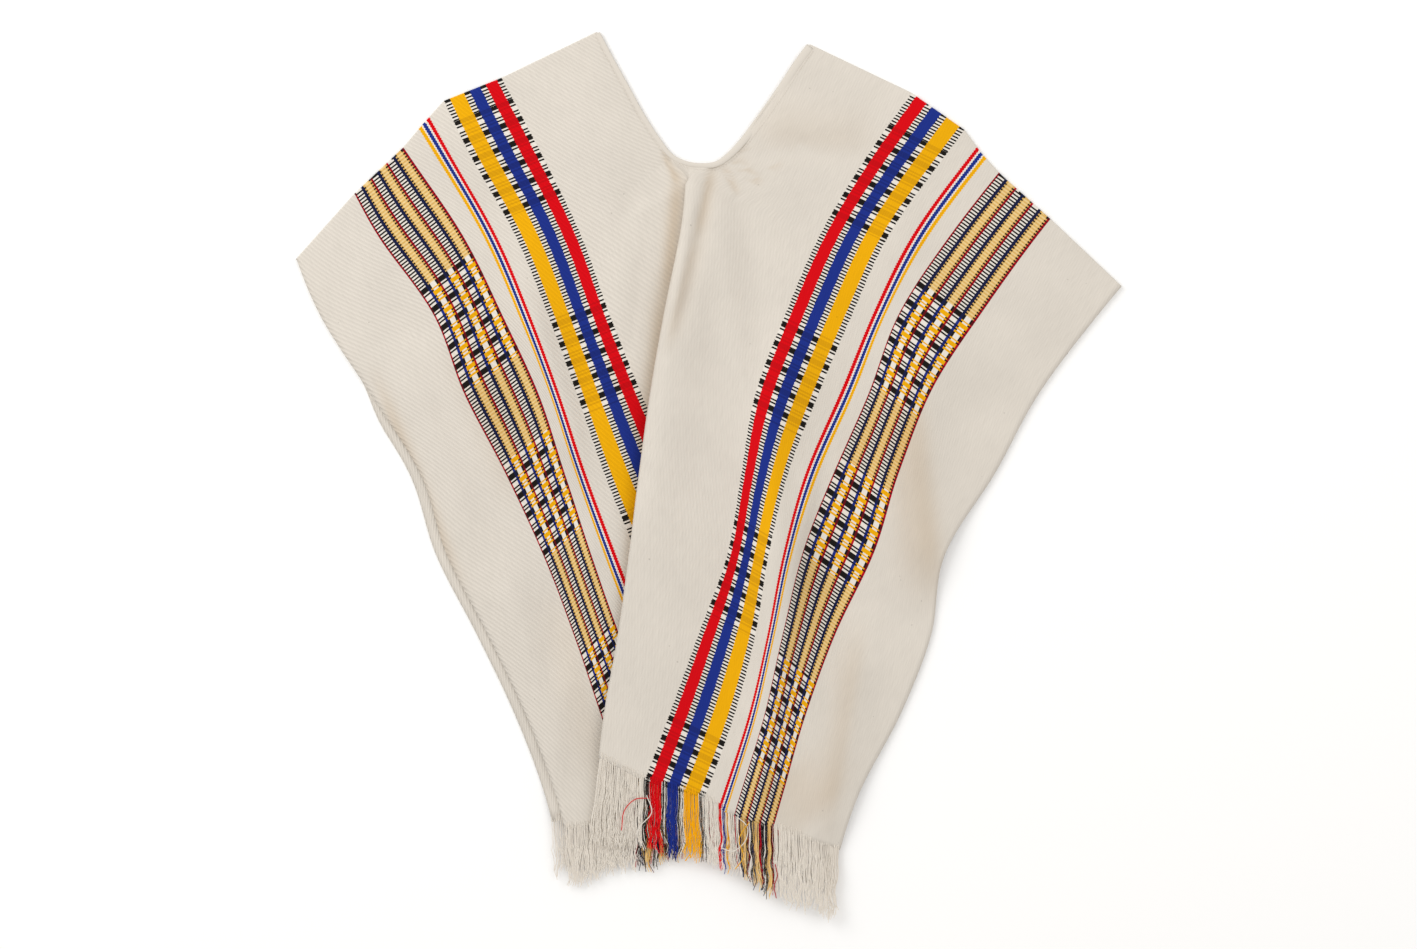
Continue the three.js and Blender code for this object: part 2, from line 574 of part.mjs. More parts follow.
function fringeGeometry({ layer, locks, length }, row) {
  const edge = hemEdge(row, layer);
  const find = byLength(edge);
  const down = edge.map((p, i) => {
    const before = edge[Math.max(0, i - 1)];
    const after = edge[Math.min(edge.length - 1, i + 1)];
    const run = new THREE.Vector3(after.x - before.x, after.y - before.y, 0).normalize();
    return new THREE.Vector3(run.y, -run.x, 0);
  });
  const corner = (i, depth, z) => {
    return new THREE.Vector3(edge[i].x, edge[i].y, edge[i].z + z).addScaledVector(down[i], depth);
  };
  const half = fringeStrip.thickness / 2;
  const deep = seamGap + fringeStrip.depth;
  let solid = toSolid(loft(edge.map((_, i) => [
    corner(i, deep, half), corner(i, deep, -half), corner(i, seamGap, -half), corner(i, seamGap, half),
  ]), false));
  for (let n = 0; n < locks; n += 1) {
    const { segment, along } = find((n + 0.5) / locks);
    const root = corner(segment, deep / 2, 0).lerp(corner(segment + 1, deep / 2, 0), along);
    const ownLength = lockWaves.reduce((sum, { size, step }) => sum + size * Math.sin(n * step), length);
    const tipZ = lockTip.height + (lockTip.perLayer * (root.z - wall / 2)) / pitch;
    const sections = Array.from({ length: lock.segments + 1 }, (_, s) => {
      const t = s / lock.segments;
      const radius = mix(lock.rootRadius, lock.tipRadius, t);
      const x = root.x + lock.sway * t * Math.sin(root.x * lock.swayWave);
      const z = mix(root.z, tipZ, t);
      return Array.from({ length: lock.sides }, (__, k) => {
        const angle = (2 * Math.PI * k) / lock.sides + Math.PI / 2;
        const aside = lock.flatness * radius * Math.cos(angle);
        return new THREE.Vector3(x + aside, root.y - ownLength * t, z + radius * Math.sin(angle));
      });
    });
    solid = solid.add(toSolid(loft(sections, false)));
  }
  return toGeometry(solid);
}

function addPiece(group, name, geometry, color) {
  geometry.computeVertexNormals();
  const piece = new THREE.Mesh(geometry, new THREE.MeshStandardMaterial({ color, roughness: 0.95, metalness: 0 }));
  piece.name = name;
  group.add(piece);
}

const poncho = new THREE.Group();
const frontRows = panelRows("front");
const backRows = panelRows("back");
addPiece(poncho, "cloth", clothGeometry(frontRows, backRows), "#ddd4c8");
addPiece(poncho, "neck_hem", neckHemGeometry(), "#d8cfc2");
for (const row of fringeRows) {
  const hem = (row.layer.startsWith("front") ? frontRows : backRows).at(-1);
  const name = `fringe_${row.layer.replace(/[A-Z]/, (letter) => `_${letter.toLowerCase()}`)}`;
  addPiece(poncho, name, fringeGeometry(row, hem), "#d6d0c5");
}
const outline = new THREE.Box3().setFromObject(poncho);
const middle = outline.getCenter(new THREE.Vector3());
poncho.position.set(-middle.x, -middle.y, -outline.min.z);

export default poncho;
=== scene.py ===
# Woven poncho laid flat: cloth, rolled neck hem with its stitches, warp fringe, floor, light and camera.
# The cloth's plan is in millimetres, x across and y towards the shoulders, and is then placed on the frame.
import math
from functools import partial
import bpy
import numpy as np
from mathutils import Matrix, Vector


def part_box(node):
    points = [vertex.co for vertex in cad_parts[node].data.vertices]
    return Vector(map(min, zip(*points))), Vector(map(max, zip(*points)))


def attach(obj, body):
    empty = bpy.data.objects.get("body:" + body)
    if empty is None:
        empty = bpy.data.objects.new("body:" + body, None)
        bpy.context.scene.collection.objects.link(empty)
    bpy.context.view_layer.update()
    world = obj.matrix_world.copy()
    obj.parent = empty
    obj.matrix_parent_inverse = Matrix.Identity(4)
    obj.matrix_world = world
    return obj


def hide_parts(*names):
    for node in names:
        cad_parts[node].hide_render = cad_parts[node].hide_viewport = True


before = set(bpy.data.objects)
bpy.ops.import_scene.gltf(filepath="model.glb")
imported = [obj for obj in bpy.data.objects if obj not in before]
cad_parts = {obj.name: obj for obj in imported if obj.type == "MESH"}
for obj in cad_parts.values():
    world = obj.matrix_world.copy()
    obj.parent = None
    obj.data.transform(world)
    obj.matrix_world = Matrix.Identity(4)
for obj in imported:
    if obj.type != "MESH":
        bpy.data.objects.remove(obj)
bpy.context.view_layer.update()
print("frame loaded")

mm = 0.001
scene = bpy.context.scene

clothSizes = {
    "wall": 1.0,
    "pitch": 2.4,          # height from one lying layer to the next
    "halfLength": 745.0,   # warp length from the shoulder fold to a hem
    "slitLength": 165.0,
    "underHem": 2.5,       # how far inside the neckline the cloth ends, under its rolled hem
    "floorGap": 0.1,
}
foldRadius = clothSizes["pitch"] / 2
slitFraction = clothSizes["slitLength"] / clothSizes["halfLength"]

# Distance of each warp line from the middle of the cloth
warp = {
    "inner": 17.0, "flagInner": 130.0, "flagOuter": 200.0, "thinStripe": 228.5,
    "brownInner": 259.0, "brownOuter": 328.0, "selvage": 421.0,
}
pleatWarp = {"left": 120.0, "right": 80.0}   # cloth of each half hidden in the pleat at the hem

sectionColumns = ("y", "selvage", "brownOuter", "brownInner", "thinStripe", "flagOuter", "flagInner")
sections = {
    "left": (
        (400, -473, -414, -354, -314, -277, -209),
        (320, -447, -374, -300, -266, -239, -167),
        (240, -421, -332, -246, -220, -194, -128),
        (160, -389, -275, -206, -185, -161, -99),
        (80, -338, -244, -169, -155, -132, -67),
        (0, -288, -203, -143, -129, -104, -32),
        (-80, -262, -166, -117, -100, -72, -1),
        (-160, -221, -135, -89, -69, -41, 28),
        (-240, -183, -108, -58, -36, -9, 54),
        (-320, -153, -81, -27, -3, 24, 79),
        (-400, -133, -54, 3, 30, 56, 103),
    ),
    "right": (
        (400, 591, 471, 376, 336, 299, 216),
        (320, 527, 401, 309, 271, 237, 159),
        (240, 457, 335, 246, 212, 180, 111),
        (160, 389, 277, 192, 171, 143, 76),
        (80, 329, 224, 162, 138, 109, 46),
        (0, 285, 193, 127, 102, 78, 32),
        (-80, 235, 169, 94, 78, 59, 18),
        (-160, 222, 130, 74, 62, 46, -11),
        (-240, 191, 99, 56, 44, 25, -40),
        (-320, 149, 76, 32, 19, -4, -70),
        (-400, 123, 53, 10, -7, -37, -99),
    ),
}
# The visible edge of the centre pleat: y and x
pleatSections = (
    (304, -21), (272, -23), (240, -27), (160, -43), (80, -57),
    (0, -68), (-80, -78), (-160, -89), (-240, -103), (-320, -112),
)
pleat = {
    "depthAtHem": 198.0, "upperHem": -282.0, "lowerHem": -300.0, "lift": 7.0,
    "turn": 22.0, "gather": 12.0, "middleShare": 0.27, "sharpness": 3, "layers": 2,
}
# How far outside the pleat's edges a layer starts to climb it, and over what width
layerRamp = {"left": 70.0, "leftReach": 30.0, "right": 15.0, "rightReach": 40.0}
neckline = (
    (-109, 442), (-97, 419), (-80, 388), (-64, 359), (-49, 336), (-36, 320), (-22, 313), (-6, 311),
    (7, 313), (18, 321), (31, 335), (48, 358), (69, 388), (86, 414), (98, 430),
)
slitBottomX = -19.0
slitBottomHalfWidth = 16.0
lineNames = ("flagInner", "flagOuter", "thinStripe", "brownInner", "brownOuter", "selvage")
shoulderY = {
    "left": dict(zip(lineNames, (395, 372, 350, 326, 279, 214))),
    "right": dict(zip(lineNames, (380, 343, 320, 298, 251, 187))),
}
# Warp distance of each line's shoulder turn from the line where the weaver's pattern starts
foldAt = {
    "left": dict(zip(lineNames, (0, 0, 8, 20, 27, 46))),
    "right": dict(zip(lineNames, (-15, -5, 2, 11, 18, 40))),
}
hemY = {
    "left": dict(zip(lineNames, (-305, -317, -322, -327, -340, -355))),
    "right": dict(zip(lineNames, (-305, -322, -335, -340, -353, -375))),
}
backPanel = {
    "leftOut": 11.0, "rightIn": 6.0, "hemUp": 8.0, "pleatIn": 8.0, "pleatFade": 0.2,
    "showsBelow": 100.0, "fade": 60.0,
}

# Soft folds of each half of the front: x and y of both ends, height, and how far its two flanks reach
frontFolds = {
    "right": (
        (-20, 250, -60, -60, 9, 18, 34),
        (72, 130, 52, -150, 15, 20, 26),
        (100, 10, 40, -360, 16, 30, 13),
        (190, 120, 215, -110, 14, 18, 36),
        (150, 330, 250, 60, 7, 40, 40),
        (150, -150, 120, -360, 9, 22, 26),
        (-13, 300, -38, 150, 4.5, 8, 9),   # the rounded edge that the pleat shows below the neck
        (4, 305, -32, 140, -3.5, 5, 9),    # and the soft crease beside it
        (22, 315, 52, 288, -1.5, 3, 5),    # small drags from the end of the slit
        (28, 322, 70, 306, -1.3, 3, 6),
        (14, 308, 30, 276, -1.2, 3, 4),
        (68, 343, 100, 325, -1.3, 3, 6),
        (45, 345, 150, 352, 5, 22, 26),
        (40, 325, 160, 318, -3, 12, 20),
    ),
    "left": (
        (-190, 190, -120, -10, 12, 24, 18),
        (-285, 210, -210, 60, 11, 26, 20),
        (-320, 110, -255, -90, 13, 16, 34),
        (-215, -80, -160, -330, 9, 22, 30),
        (-120, 330, -75, 130, 7, 34, 30),
        (-48, 320, -30, 290, -1.2, 3, 4),
    ),
}
# Painted shade: a warm tint laid into the colour in the hollows beside the folds and along the fine creases.
# Its height is the share of the tint.
paintedShades = {
    "right": (
        (150, -160, 118, -350, 0.25, 14, 8),
        (205, 90, 226, -110, 0.2, 20, 10),
        (2, 306, -12, 240, 0.4, 3, 7),
        (-12, 240, -40, 130, 0.25, 4, 8),
        (24, 314, 50, 290, 0.4, 2.5, 5),
        (14, 308, 28, 280, 0.3, 2.5, 4),
        (30, 322, 70, 306, 0.35, 2.5, 6),
        (48, 344, 165, 332, 0.13, 14, 30),
        (196, 70, 222, -120, 0.22, 26, 14),
        (70, -300, 110, -340, 0.25, 40, 40),
        (150, 60, 110, -140, 0.12, 16, 22),
    ),
    "left": (
        (-30, 300, -42, 180, 0.5, 8, 8),
        (-44, 190, -64, 20, 0.5, 10, 8),
        (-66, 30, -84, -160, 0.4, 9, 8),
        (-100, 120, -60, 20, 0.2, 14, 14),
        (-330, 90, -250, -110, 0.4, 5, 8),
        (-250, 130, -190, -20, 0.18, 18, 26),
        (-150, -120, -110, -300, 0.15, 24, 16),
        (-46, 322, -32, 292, 0.4, 3, 4),
    ),
}

foldEnds = {"beyond": 0.15, "fade": 0.4}   # as shares of a fold's length
foldFade = {"besidePleat": 70.0, "reach": 45.0, "shoulderShare": 0.08, "leftEdge": 34.0}
pleatEdgeReach = 150.0   # how far below the slit the pleat's edge has risen to its whole lift


def smooth(t):
    t = min(1.0, max(0.0, t))
    return t * t * (3 - 2 * t)


def mix(a, b, t):
    return a + (b - a) * t


def mixPoint(a, b, t):
    return (mix(a[0], b[0], t), mix(a[1], b[1], t))


def hermite(a, leaving, b, arriving, t):   # from a to b, with the change in a step at both ends
    return ((2 * t**3 - 3 * t**2 + 1) * a + (t**3 - 2 * t**2 + t) * leaving
            + (3 * t**2 - 2 * t**3) * b + (t**3 - t**2) * arriving)


def sectionAt(table, column, y):   # a column of a section table at any height, smooth from row to row
    last = len(table) - 1
    row = 0
    while row < last - 1 and y < table[row + 1][0]:
        row += 1
    a, b = table[row], table[row + 1]
    before, after = table[max(0, row - 1)], table[min(last, row + 2)]
    slopeA = (b[column] - before[column]) / (b[0] - before[0])
    slopeB = (after[column] - a[column]) / (after[0] - a[0])
    span = b[0] - a[0]
    return hermite(a[column], span * slopeA, b[column], span * slopeB, (y - a[0]) / span)


class Lengthwise:   # a line down the cloth, read by the share of its length
    def __init__(self, points):
        self.points = np.array(points, dtype=float)
        steps = np.hypot(*np.diff(self.points, axis=0).T)
        self.reach = np.concatenate(([0.0], np.cumsum(steps)))

    def at(self, share):
        wanted = min(1.0, max(0.0, share)) * self.reach[-1]
        return tuple(np.interp(wanted, self.reach, self.points[:, column]) for column in (0, 1))


def lineDown(xAt, yTop, yBottom, samples=90):
    return Lengthwise([(xAt(y), y) for y in np.linspace(yTop, yBottom, samples + 1)])


def roundedCurve(points, perSpan=24):   # centripetal Catmull-Rom through the points
    p = [np.array(q, dtype=float) for q in points]
    p = [2 * p[0] - p[1]] + p + [2 * p[-1] - p[-2]]
    out = []
    for i in range(1, len(p) - 2):
        d0, d1, d2 = (math.sqrt(np.linalg.norm(p[k + 1] - p[k])) for k in (i - 1, i, i + 1))
        m1 = ((p[i] - p[i - 1]) / d0 - (p[i + 1] - p[i - 1]) / (d0 + d1) + (p[i + 1] - p[i]) / d1) * d1
        m2 = ((p[i + 1] - p[i]) / d1 - (p[i + 2] - p[i]) / (d1 + d2) + (p[i + 2] - p[i + 1]) / d2) * d1
        out += [hermite(p[i], m1, p[i + 1], m2, t) for t in np.arange(perSpan) / perSpan]
    return out + [p[-2]]


neckLine = Lengthwise(roundedCurve(neckline))
nearShare = 0.002   # how far to each side the neckline is read for its direction


def neckPoint(share, inset):   # on the neckline, moved into the cloth by inset
    x, y = neckLine.at(share)
    x0, y0 = neckLine.at(share - nearShare)
    x1, y1 = neckLine.at(share + nearShare)
    length = math.hypot(x1 - x0, y1 - y0)
    return (x + (y1 - y0) / length * inset, y - (x1 - x0) / length * inset)


def neckShareAt(x):
    return float(np.interp(x, neckLine.points[:, 0], neckLine.reach / neckLine.reach[-1]))


slitShare = {
    "left": neckShareAt(slitBottomX - slitBottomHalfWidth),
    "right": neckShareAt(slitBottomX + slitBottomHalfWidth),
}
clothInset = clothSizes["underHem"]
slitBottom = neckPoint(neckShareAt(slitBottomX), clothInset)


def zAt(level):   # the middle of the wall in a layer, counted from the floor
    return clothSizes["floorGap"] + clothSizes["wall"] / 2 + clothSizes["pitch"] * level


spreadWidth = neckPoint(slitShare["right"], clothInset)[0] - neckPoint(slitShare["left"], clothInset)[0]


def pleatTurn(y):   # the pleat's section: its edges turn by an angle and climb by some layers
    turned = max(0.001, smooth((slitBottom[1] - y) / pleat["turn"]))   # never 0, as its angle divides below
    share = pleat["middleShare"]
    slow = 2 * pleat["layers"] * clothSizes["pitch"] / ((1 + share) * math.pi * spreadWidth)
    angle = math.pi * (slow * turned + (1 - slow) * turned ** pleat["sharpness"])
    rise = pleat["layers"] * turned
    arcs = (1 - share) * (1 - math.cos(angle)) / angle
    length = rise * clothSizes["pitch"] / (arcs + share * math.sin(angle))
    radius = (1 - share) * length / (2 * angle)
    return {"angle": angle, "rise": rise, "radius": radius, "middle": share * length}


def pleatEdge(panel, edge):
    inward = backPanel["pleatIn"] if panel == "back" else 0.0
    hem = pleat[edge + "Hem"] + (backPanel["hemUp"] if panel == "back" else 0.0)
    foldedBelow = slitBottom[1] - pleat["turn"]

    def xAt(y):
        down = min(1.0, max(0.0, (foldedBelow - y) / (foldedBelow - pleat["lowerHem"])))
        upper = sectionAt(pleatSections, 1, y) + inward * smooth(down / backPanel["pleatFade"])
        if edge == "upper":
            return upper
        return upper + 2 * foldRadius + (pleat["depthAtHem"] - 2 * inward) * down

    return {"line": lineDown(xAt, slitBottom[1], hem), "xAt": xAt}


def warpLine(panel, side, name):
    column = sectionColumns.index(name)
    out = -backPanel["leftOut"] if side == "left" else -backPanel["rightIn"]
    moved = out if panel == "back" and name == "selvage" else 0.0
    hem = hemY[side][name] + (backPanel["hemUp"] if panel == "back" else 0.0)

    def xAt(y):
        below = smooth((backPanel["showsBelow"] - y) / backPanel["fade"])
        return sectionAt(sections[side], column, y) + moved * below

    return lineDown(xAt, shoulderY[side][name], hem)


def layerLevel(panel, side, x, y, edges, rise):
    fromLeft = smooth((x - (edges["upper"]["xAt"](y) - layerRamp["left"])) / layerRamp["leftReach"])
    fromRight = 1 - smooth((x - (edges["lower"]["xAt"](y) + layerRamp["right"])) / layerRamp["rightReach"])
    if panel == "back":
        return rise * fromLeft if side == "left" else 0.0
    return 1 + rise * fromLeft if side == "left" else 1 + 2 * rise * fromRight


def foldHeight(fold, x, y):
    x1, y1, x2, y2, height, leftWidth, rightWidth = fold
    dx, dy = x2 - x1, y2 - y1
    length = math.hypot(dx, dy)
    along = ((x - x1) * dx + (y - y1) * dy) / length**2
    beyond, fade = foldEnds["beyond"], foldEnds["fade"]
    if along < -beyond or along > 1 + beyond:
        return 0.0
    aside = -((x - x1) * dy - (y - y1) * dx) / length
    width = leftWidth if aside < 0 else rightWidth
    ends = smooth((along + beyond) / fade) * smooth((1 + beyond - along) / fade)
    return height * ends * math.exp(-((aside / width) ** 2))


def foldRelief(side, x, y, folds=frontFolds):
    return sum(foldHeight(fold, x, y) for fold in folds[side])


def pleatLift(x, y, edges):
    upper = edges["upper"]["xAt"](y)
    across = min(1.0, max(0.0, (x - upper) / (edges["lower"]["xAt"](y) - upper)))
    return pleat["lift"] * smooth((slitBottom[1] - pleat["turn"] - y) / pleatEdgeReach) * (1 - across)


# The folds die out beside the pleat, at the shoulders and at the left edge
def creaseFade(side, x, y, share, edges, selvageX):
    beside, fromEdge = 0.0, 1.0
    if side == "left":
        fromEdge = smooth((x - selvageX) / foldFade["leftEdge"])
        if y < slitBottom[1]:
            beside = smooth((x - edges["upper"]["xAt"](y) + foldFade["besidePleat"]) / foldFade["reach"])
    return (1 - beside) * fromEdge * smooth(share / foldFade["shoulderShare"])


gridSizes = {"arcSteps": 8, "middleSteps": 8, "slitCrowding": 1.3}
arcSteps = gridSizes["arcSteps"]
rowCounts = {"front": (30, 20, 84), "back": (14, 14, 36)}   # beside the slit, in the pleat's turn, below it
# Faces across each span of a half, from its outer warp line to the next
spanSteps = dict(zip(reversed(lineNames), (17, 14, 6, 6, 14, 34)))


def spans():   # each span's two warp lines, and the shares of its points across it
    names = [*spanSteps, "inner"]
    for k, (name, steps) in enumerate(spanSteps.items()):
        yield name, names[k + 1], [i / steps for i in range(0 if k == 0 else 1, steps + 1)]


def pleatCentre(edges, share):
    below = (share - slitFraction) / (1 - slitFraction)
    return mixPoint(edges["upper"]["line"].at(below), edges["lower"]["line"].at(below), 0.5)


middleTimes = np.arange(1, gridSizes["middleSteps"]) / gridSizes["middleSteps"]


def acrossPleat():   # the places across the pleat of its points, 0 at the left end and 1 at the right
    side = (1 - pleat["middleShare"]) / 2
    arc = np.linspace(0, side, arcSteps + 1)
    middle = side + pleat["middleShare"] * middleTimes
    return [*arc, *middle, *(arc + 1 - side)]


def pleatRow(panel, edges, share):   # round the lower edge, back under, and round the upper edge
    below = (share - slitFraction) / (1 - slitFraction)
    upper, lower = edges["upper"]["line"].at(below), edges["lower"]["line"].at(below)
    centre = pleatCentre(edges, share)
    turn = pleatTurn(centre[1])
    angle, radius = turn["angle"], turn["radius"]
    straight = turn["middle"] + max(0.0, lower[0] - upper[0] - 2 * foldRadius)
    arcX, arcZ = radius * math.sin(angle), radius * (1 - math.cos(angle))
    runX, runZ = straight * math.cos(angle), straight * math.sin(angle)
    start = centre[0] - arcX - runX / 2
    endX, endZ = start + 2 * arcX + runX, 2 * arcZ + runZ
    turns = angle * np.arange(arcSteps + 1) / arcSteps
    arc = [(radius * math.sin(at), radius * (1 - math.cos(at))) for at in turns]
    points = [(start + x, lower[1], z) for x, z in arc]
    for t in middleTimes:
        points.append((start + arcX + runX * t, mix(lower[1], upper[1], t), arcZ + runZ * t))
    points += [(endX - x, upper[1], endZ - z) for x, z in arc[::-1]]
    onNeck = 1 - smooth((slitBottom[1] - centre[1]) / pleat["gather"])
    top = mixPoint(edges["upper"]["line"].at(0), edges["lower"]["line"].at(0), 0.5)
    lastArc = len(points) - 1 - arcSteps
    row = []
    for i, ((px, py, pz), across) in enumerate(zip(points, acrossPleat())):
        flat = neckPoint(mix(slitShare["left"], slitShare["right"], across), clothInset)
        x = px + (flat[0] - top[0] - spreadWidth * (across - 0.5)) * onNeck
        y = py + (flat[1] - slitBottom[1]) * onNeck
        if panel == "back":
            row.append((x, y, zAt(turn["rise"]) - pz))
        else:
            lift = pleatLift(x, y, edges) if i > arcSteps else 0.0
            onTop = max(0.0, i - lastArc) / arcSteps
            row.append((x, y, zAt(1 + turn["rise"]) + pz + lift + foldRelief("right", x, y) * onTop))
    return row


def halfRow(panel, side, lines, edges, share, inner):
    rise = pleatTurn(pleatCentre(edges, share)[1])["rise"] if share > slitFraction else 0.0
    selvageX = lines["selvage"].at(share)[0]
    row = []
    for name, nextName, places in spans():
        start = lines[name].at(share)
        end = inner if nextName == "inner" else lines[nextName].at(share)
        for place in places:
            x, y = mixPoint(start, end, place)
            z = zAt(layerLevel(panel, side, x, y, edges, rise))
            if panel == "front":
                z += foldRelief(side, x, y) * creaseFade(side, x, y, share, edges, selvageX)
                z += pleatLift(x, y, edges) if side == "right" else 0.0
            row.append((x, y, z))
    return row


def acrossValues(side, below):   # distance from the middle of the cloth for each column, matching halfRow
    values = []
    for name, nextName, places in spans():
        end = mix(warp["inner"], pleatWarp[side], below) if nextName == "inner" else warp[nextName]
        values += [mix(warp[name], end, place) for place in places]
    return values


def alongValues(panel, side, lines, share):   # warp distance from the pattern's start, for each column
    away = 1 if panel == "front" else -1
    turns = {"inner": foldAt[side]["flagInner"], **foldAt[side]}
    lengths = {"inner": clothSizes["halfLength"], **{name: line.reach[-1] for name, line in lines.items()}}
    values = []
    for name, nextName, places in spans():
        start, end = (turns[line] + away * lengths[line] * share for line in (name, nextName))
        values += [mix(start, end, place) for place in places]
    return values


def panelRows(panel):
    edges = {edge: pleatEdge(panel, edge) for edge in ("upper", "lower")}
    lines = {side: {name: warpLine(panel, side, name) for name in lineNames} for side in sections}
    slitRows, turnRows, foldedRows = rowCounts[panel]
    turned = pleat["turn"] / (slitBottom[1] - pleat["lowerHem"])
    belows = [0.0] * slitRows
    belows += [*np.linspace(0, turned, turnRows + 1), *np.linspace(turned, 1, foldedRows + 1)[1:]]
    rows = []
    for i, below in enumerate(belows):
        opening = i < slitRows
        down = 1 - (1 - min(1.0, i / slitRows)) ** gridSizes["slitCrowding"]
        share = slitFraction * down if opening else mix(slitFraction, 1, below)
        row = {"pleat": [] if opening else pleatRow(panel, edges, share)}
        for side, sign in (("left", -1), ("right", 1)):
            if opening:
                at = slitShare["left"] * down if side == "left" else 1 - (1 - slitShare["right"]) * down
                inner = neckPoint(at, clothInset)
            else:
                inner = row["pleat"][0 if side == "left" else -1][:2]
            points = halfRow(panel, side, lines[side], edges, share, inner)
            across = [sign * u for u in acrossValues(side, below)]
            along = alongValues(panel, side, lines[side], share)
            row[side] = [(*p, u, v) for p, u, v in zip(points, across, along)]
        if row["pleat"]:
            first, last = row["left"][-1], row["right"][-1]
            row["pleat"] = [
                (*p, mix(first[3], last[3], place), mix(first[4], last[4], place))
                for p, place in zip(row["pleat"], acrossPleat())
            ]
        row["right"].reverse()
        rows.append(row)
    return rows


def shoulderTurn(firstRow):   # the rows that turn over the shoulders
    rows = []
    for angle in np.radians((60, 30, 0, -30, -60)):
        turned = {"pleat": []}
        for side in sections:
            part = firstRow[side]
            turned[side] = []
            for i, (x, y, _, u, v) in enumerate(part):
                before, after = part[max(0, i - 1)], part[min(len(part) - 1, i + 1)]
                length = math.hypot(after[0] - before[0], after[1] - before[1])
                reach = foldRadius * math.cos(angle)
                turned[side].append((
                    x - (after[1] - before[1]) / length * reach, y + (after[0] - before[0]) / length * reach,
                    zAt(0.5) + foldRadius * math.sin(angle), u, v,
                ))
        rows.append(turned)
    return rows


frontRows = panelRows("front")
backRows = panelRows("back")


def clothSheet():   # vertices with their place on the flat cloth, and faces
    rows = frontRows[::-1] + shoulderTurn(frontRows[0]) + backRows
    points, numbered = [], []
    for row in rows:
        parts = {}
        for name in ("left", "pleat", "right"):
            part = row[name][1:-1] if name == "pleat" else row[name]
            parts[name] = list(range(len(points), len(points) + len(part)))
            points += part
        numbered.append(parts)
    faces = []
    for above, below in zip(numbered, numbered[1:]):
        if above["pleat"] and below["pleat"]:
            strips = [tuple(r["left"] + r["pleat"] + r["right"] for r in (above, below))]
        else:
            strips = [(above[side], below[side]) for side in sections]
        for upper, lower in strips:
            faces += [(upper[k - 1], upper[k], lower[k], lower[k - 1]) for k in range(1, len(upper))]
    return points, faces


def newObject(name, points, faces, material=None, edges=()):
    mesh = bpy.data.meshes.new(name)
    mesh.from_pydata(points, edges, faces)
    mesh.shade_smooth()
    made = bpy.data.objects.new(name, mesh)
    scene.collection.objects.link(made)
    if material:
        mesh.materials.append(material)
    return made


def plainMesh(made):   # the evaluated shape as a mesh of its own, without modifiers
    evaluated = made.evaluated_get(bpy.context.evaluated_depsgraph_get())
    mesh = bpy.data.meshes.new_from_object(evaluated)
    made.modifiers.clear()
    made.data = mesh
    return made


sheetPoints, sheetFaces = clothSheet()
sheetArray = np.array(sheetPoints)
clothLow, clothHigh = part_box("cloth")
shift = (clothLow[0] / mm - sheetArray[:, 0].min(), clothHigh[1] / mm - sheetArray[:, 1].max())


def placed(x, y, z):   # from the plan in millimetres to the frame
    return ((x + shift[0]) * mm, (y + shift[1]) * mm, z * mm)


cloth = newObject("woven_cloth", [placed(*p[:3]) for p in sheetPoints], sheetFaces)
flatPlace = cloth.data.uv_layers.new(name="flat cloth")
for loop in cloth.data.loops:
    u, v = sheetPoints[loop.vertex_index][3:]
    flatPlace.data[loop.index].uv = (u * mm, v * mm)
# Painted shade on the cloth's upper layers: the share of the warm shade tint at each point, from the painted
# shade table
paintedShade = cloth.data.attributes.new("paintedShade", "FLOAT", "POINT")
paintedShade.data.foreach_set("value", [
    foldRelief("left" if u < 0 else "right", x, y, paintedShades) if z > zAt(1) - foldRadius else 0.0
    for x, y, z, u, v in sheetPoints
])
wall = cloth.modifiers.new("wall", "SOLIDIFY")
wall.thickness = clothSizes["wall"] * mm
wall.offset = 0
wall.use_even_offset = True
plainMesh(cloth)
print("cloth:", len(sheetPoints), "points")


def linear(hexValue):   # sRGB hex to a linear colour
    channels = [int(hexValue[i:i + 2], 16) / 255 for i in (1, 3, 5)]
    return (*((c / 12.92 if c <= 0.04045 else ((c + 0.055) / 1.055) ** 2.4) for c in channels), 1.0)


# An input is a value, a socket, or a node that stands for its first output
def addNode(tree, kind, inputs=(), operation=None, bands=(), **settings):
    made = tree.nodes.new(kind)
    if operation:
        made.operation = operation
    for name, value in settings.items():
        setattr(made, name, value)
    for key, value in inputs.items() if isinstance(inputs, dict) else enumerate(inputs):
        if isinstance(value, bpy.types.Node):
            value = value.outputs[0]
        if isinstance(value, bpy.types.NodeSocket):
            tree.links.new(value, made.inputs[key])
        else:
            made.inputs[key].default_value = value
    if bands:   # (start, colour) of each band of a hard-edged ramp
        ramp = made.color_ramp
        ramp.interpolation = "CONSTANT"
        for i, (start, colour) in enumerate(bands):
            stop = ramp.elements[i] if i < 1 else ramp.elements.new(start)
            stop.position, stop.color = start, colour
        ramp.elements.remove(ramp.elements[-1])
    return made


# A node group with named sockets, what adds a node to it, and its input node
def newGroup(name, kind, inputs, outputs):
    tree = bpy.data.node_groups.new(name, kind)
    for direction, sockets in (("INPUT", inputs), ("OUTPUT", outputs)):
        for socket, socketKind in sockets.items():
            tree.interface.new_socket(socket, in_out=direction, socket_type="NodeSocket" + socketKind)
    add = partial(addNode, tree)
    return tree, add, add("NodeGroupInput")


def newMaterial(name):   # a material without nodes, and what adds a node to it
    made = bpy.data.materials.new(name)
    made.use_nodes = True
    made.node_tree.nodes.clear()
    return made, partial(addNode, made.node_tree)


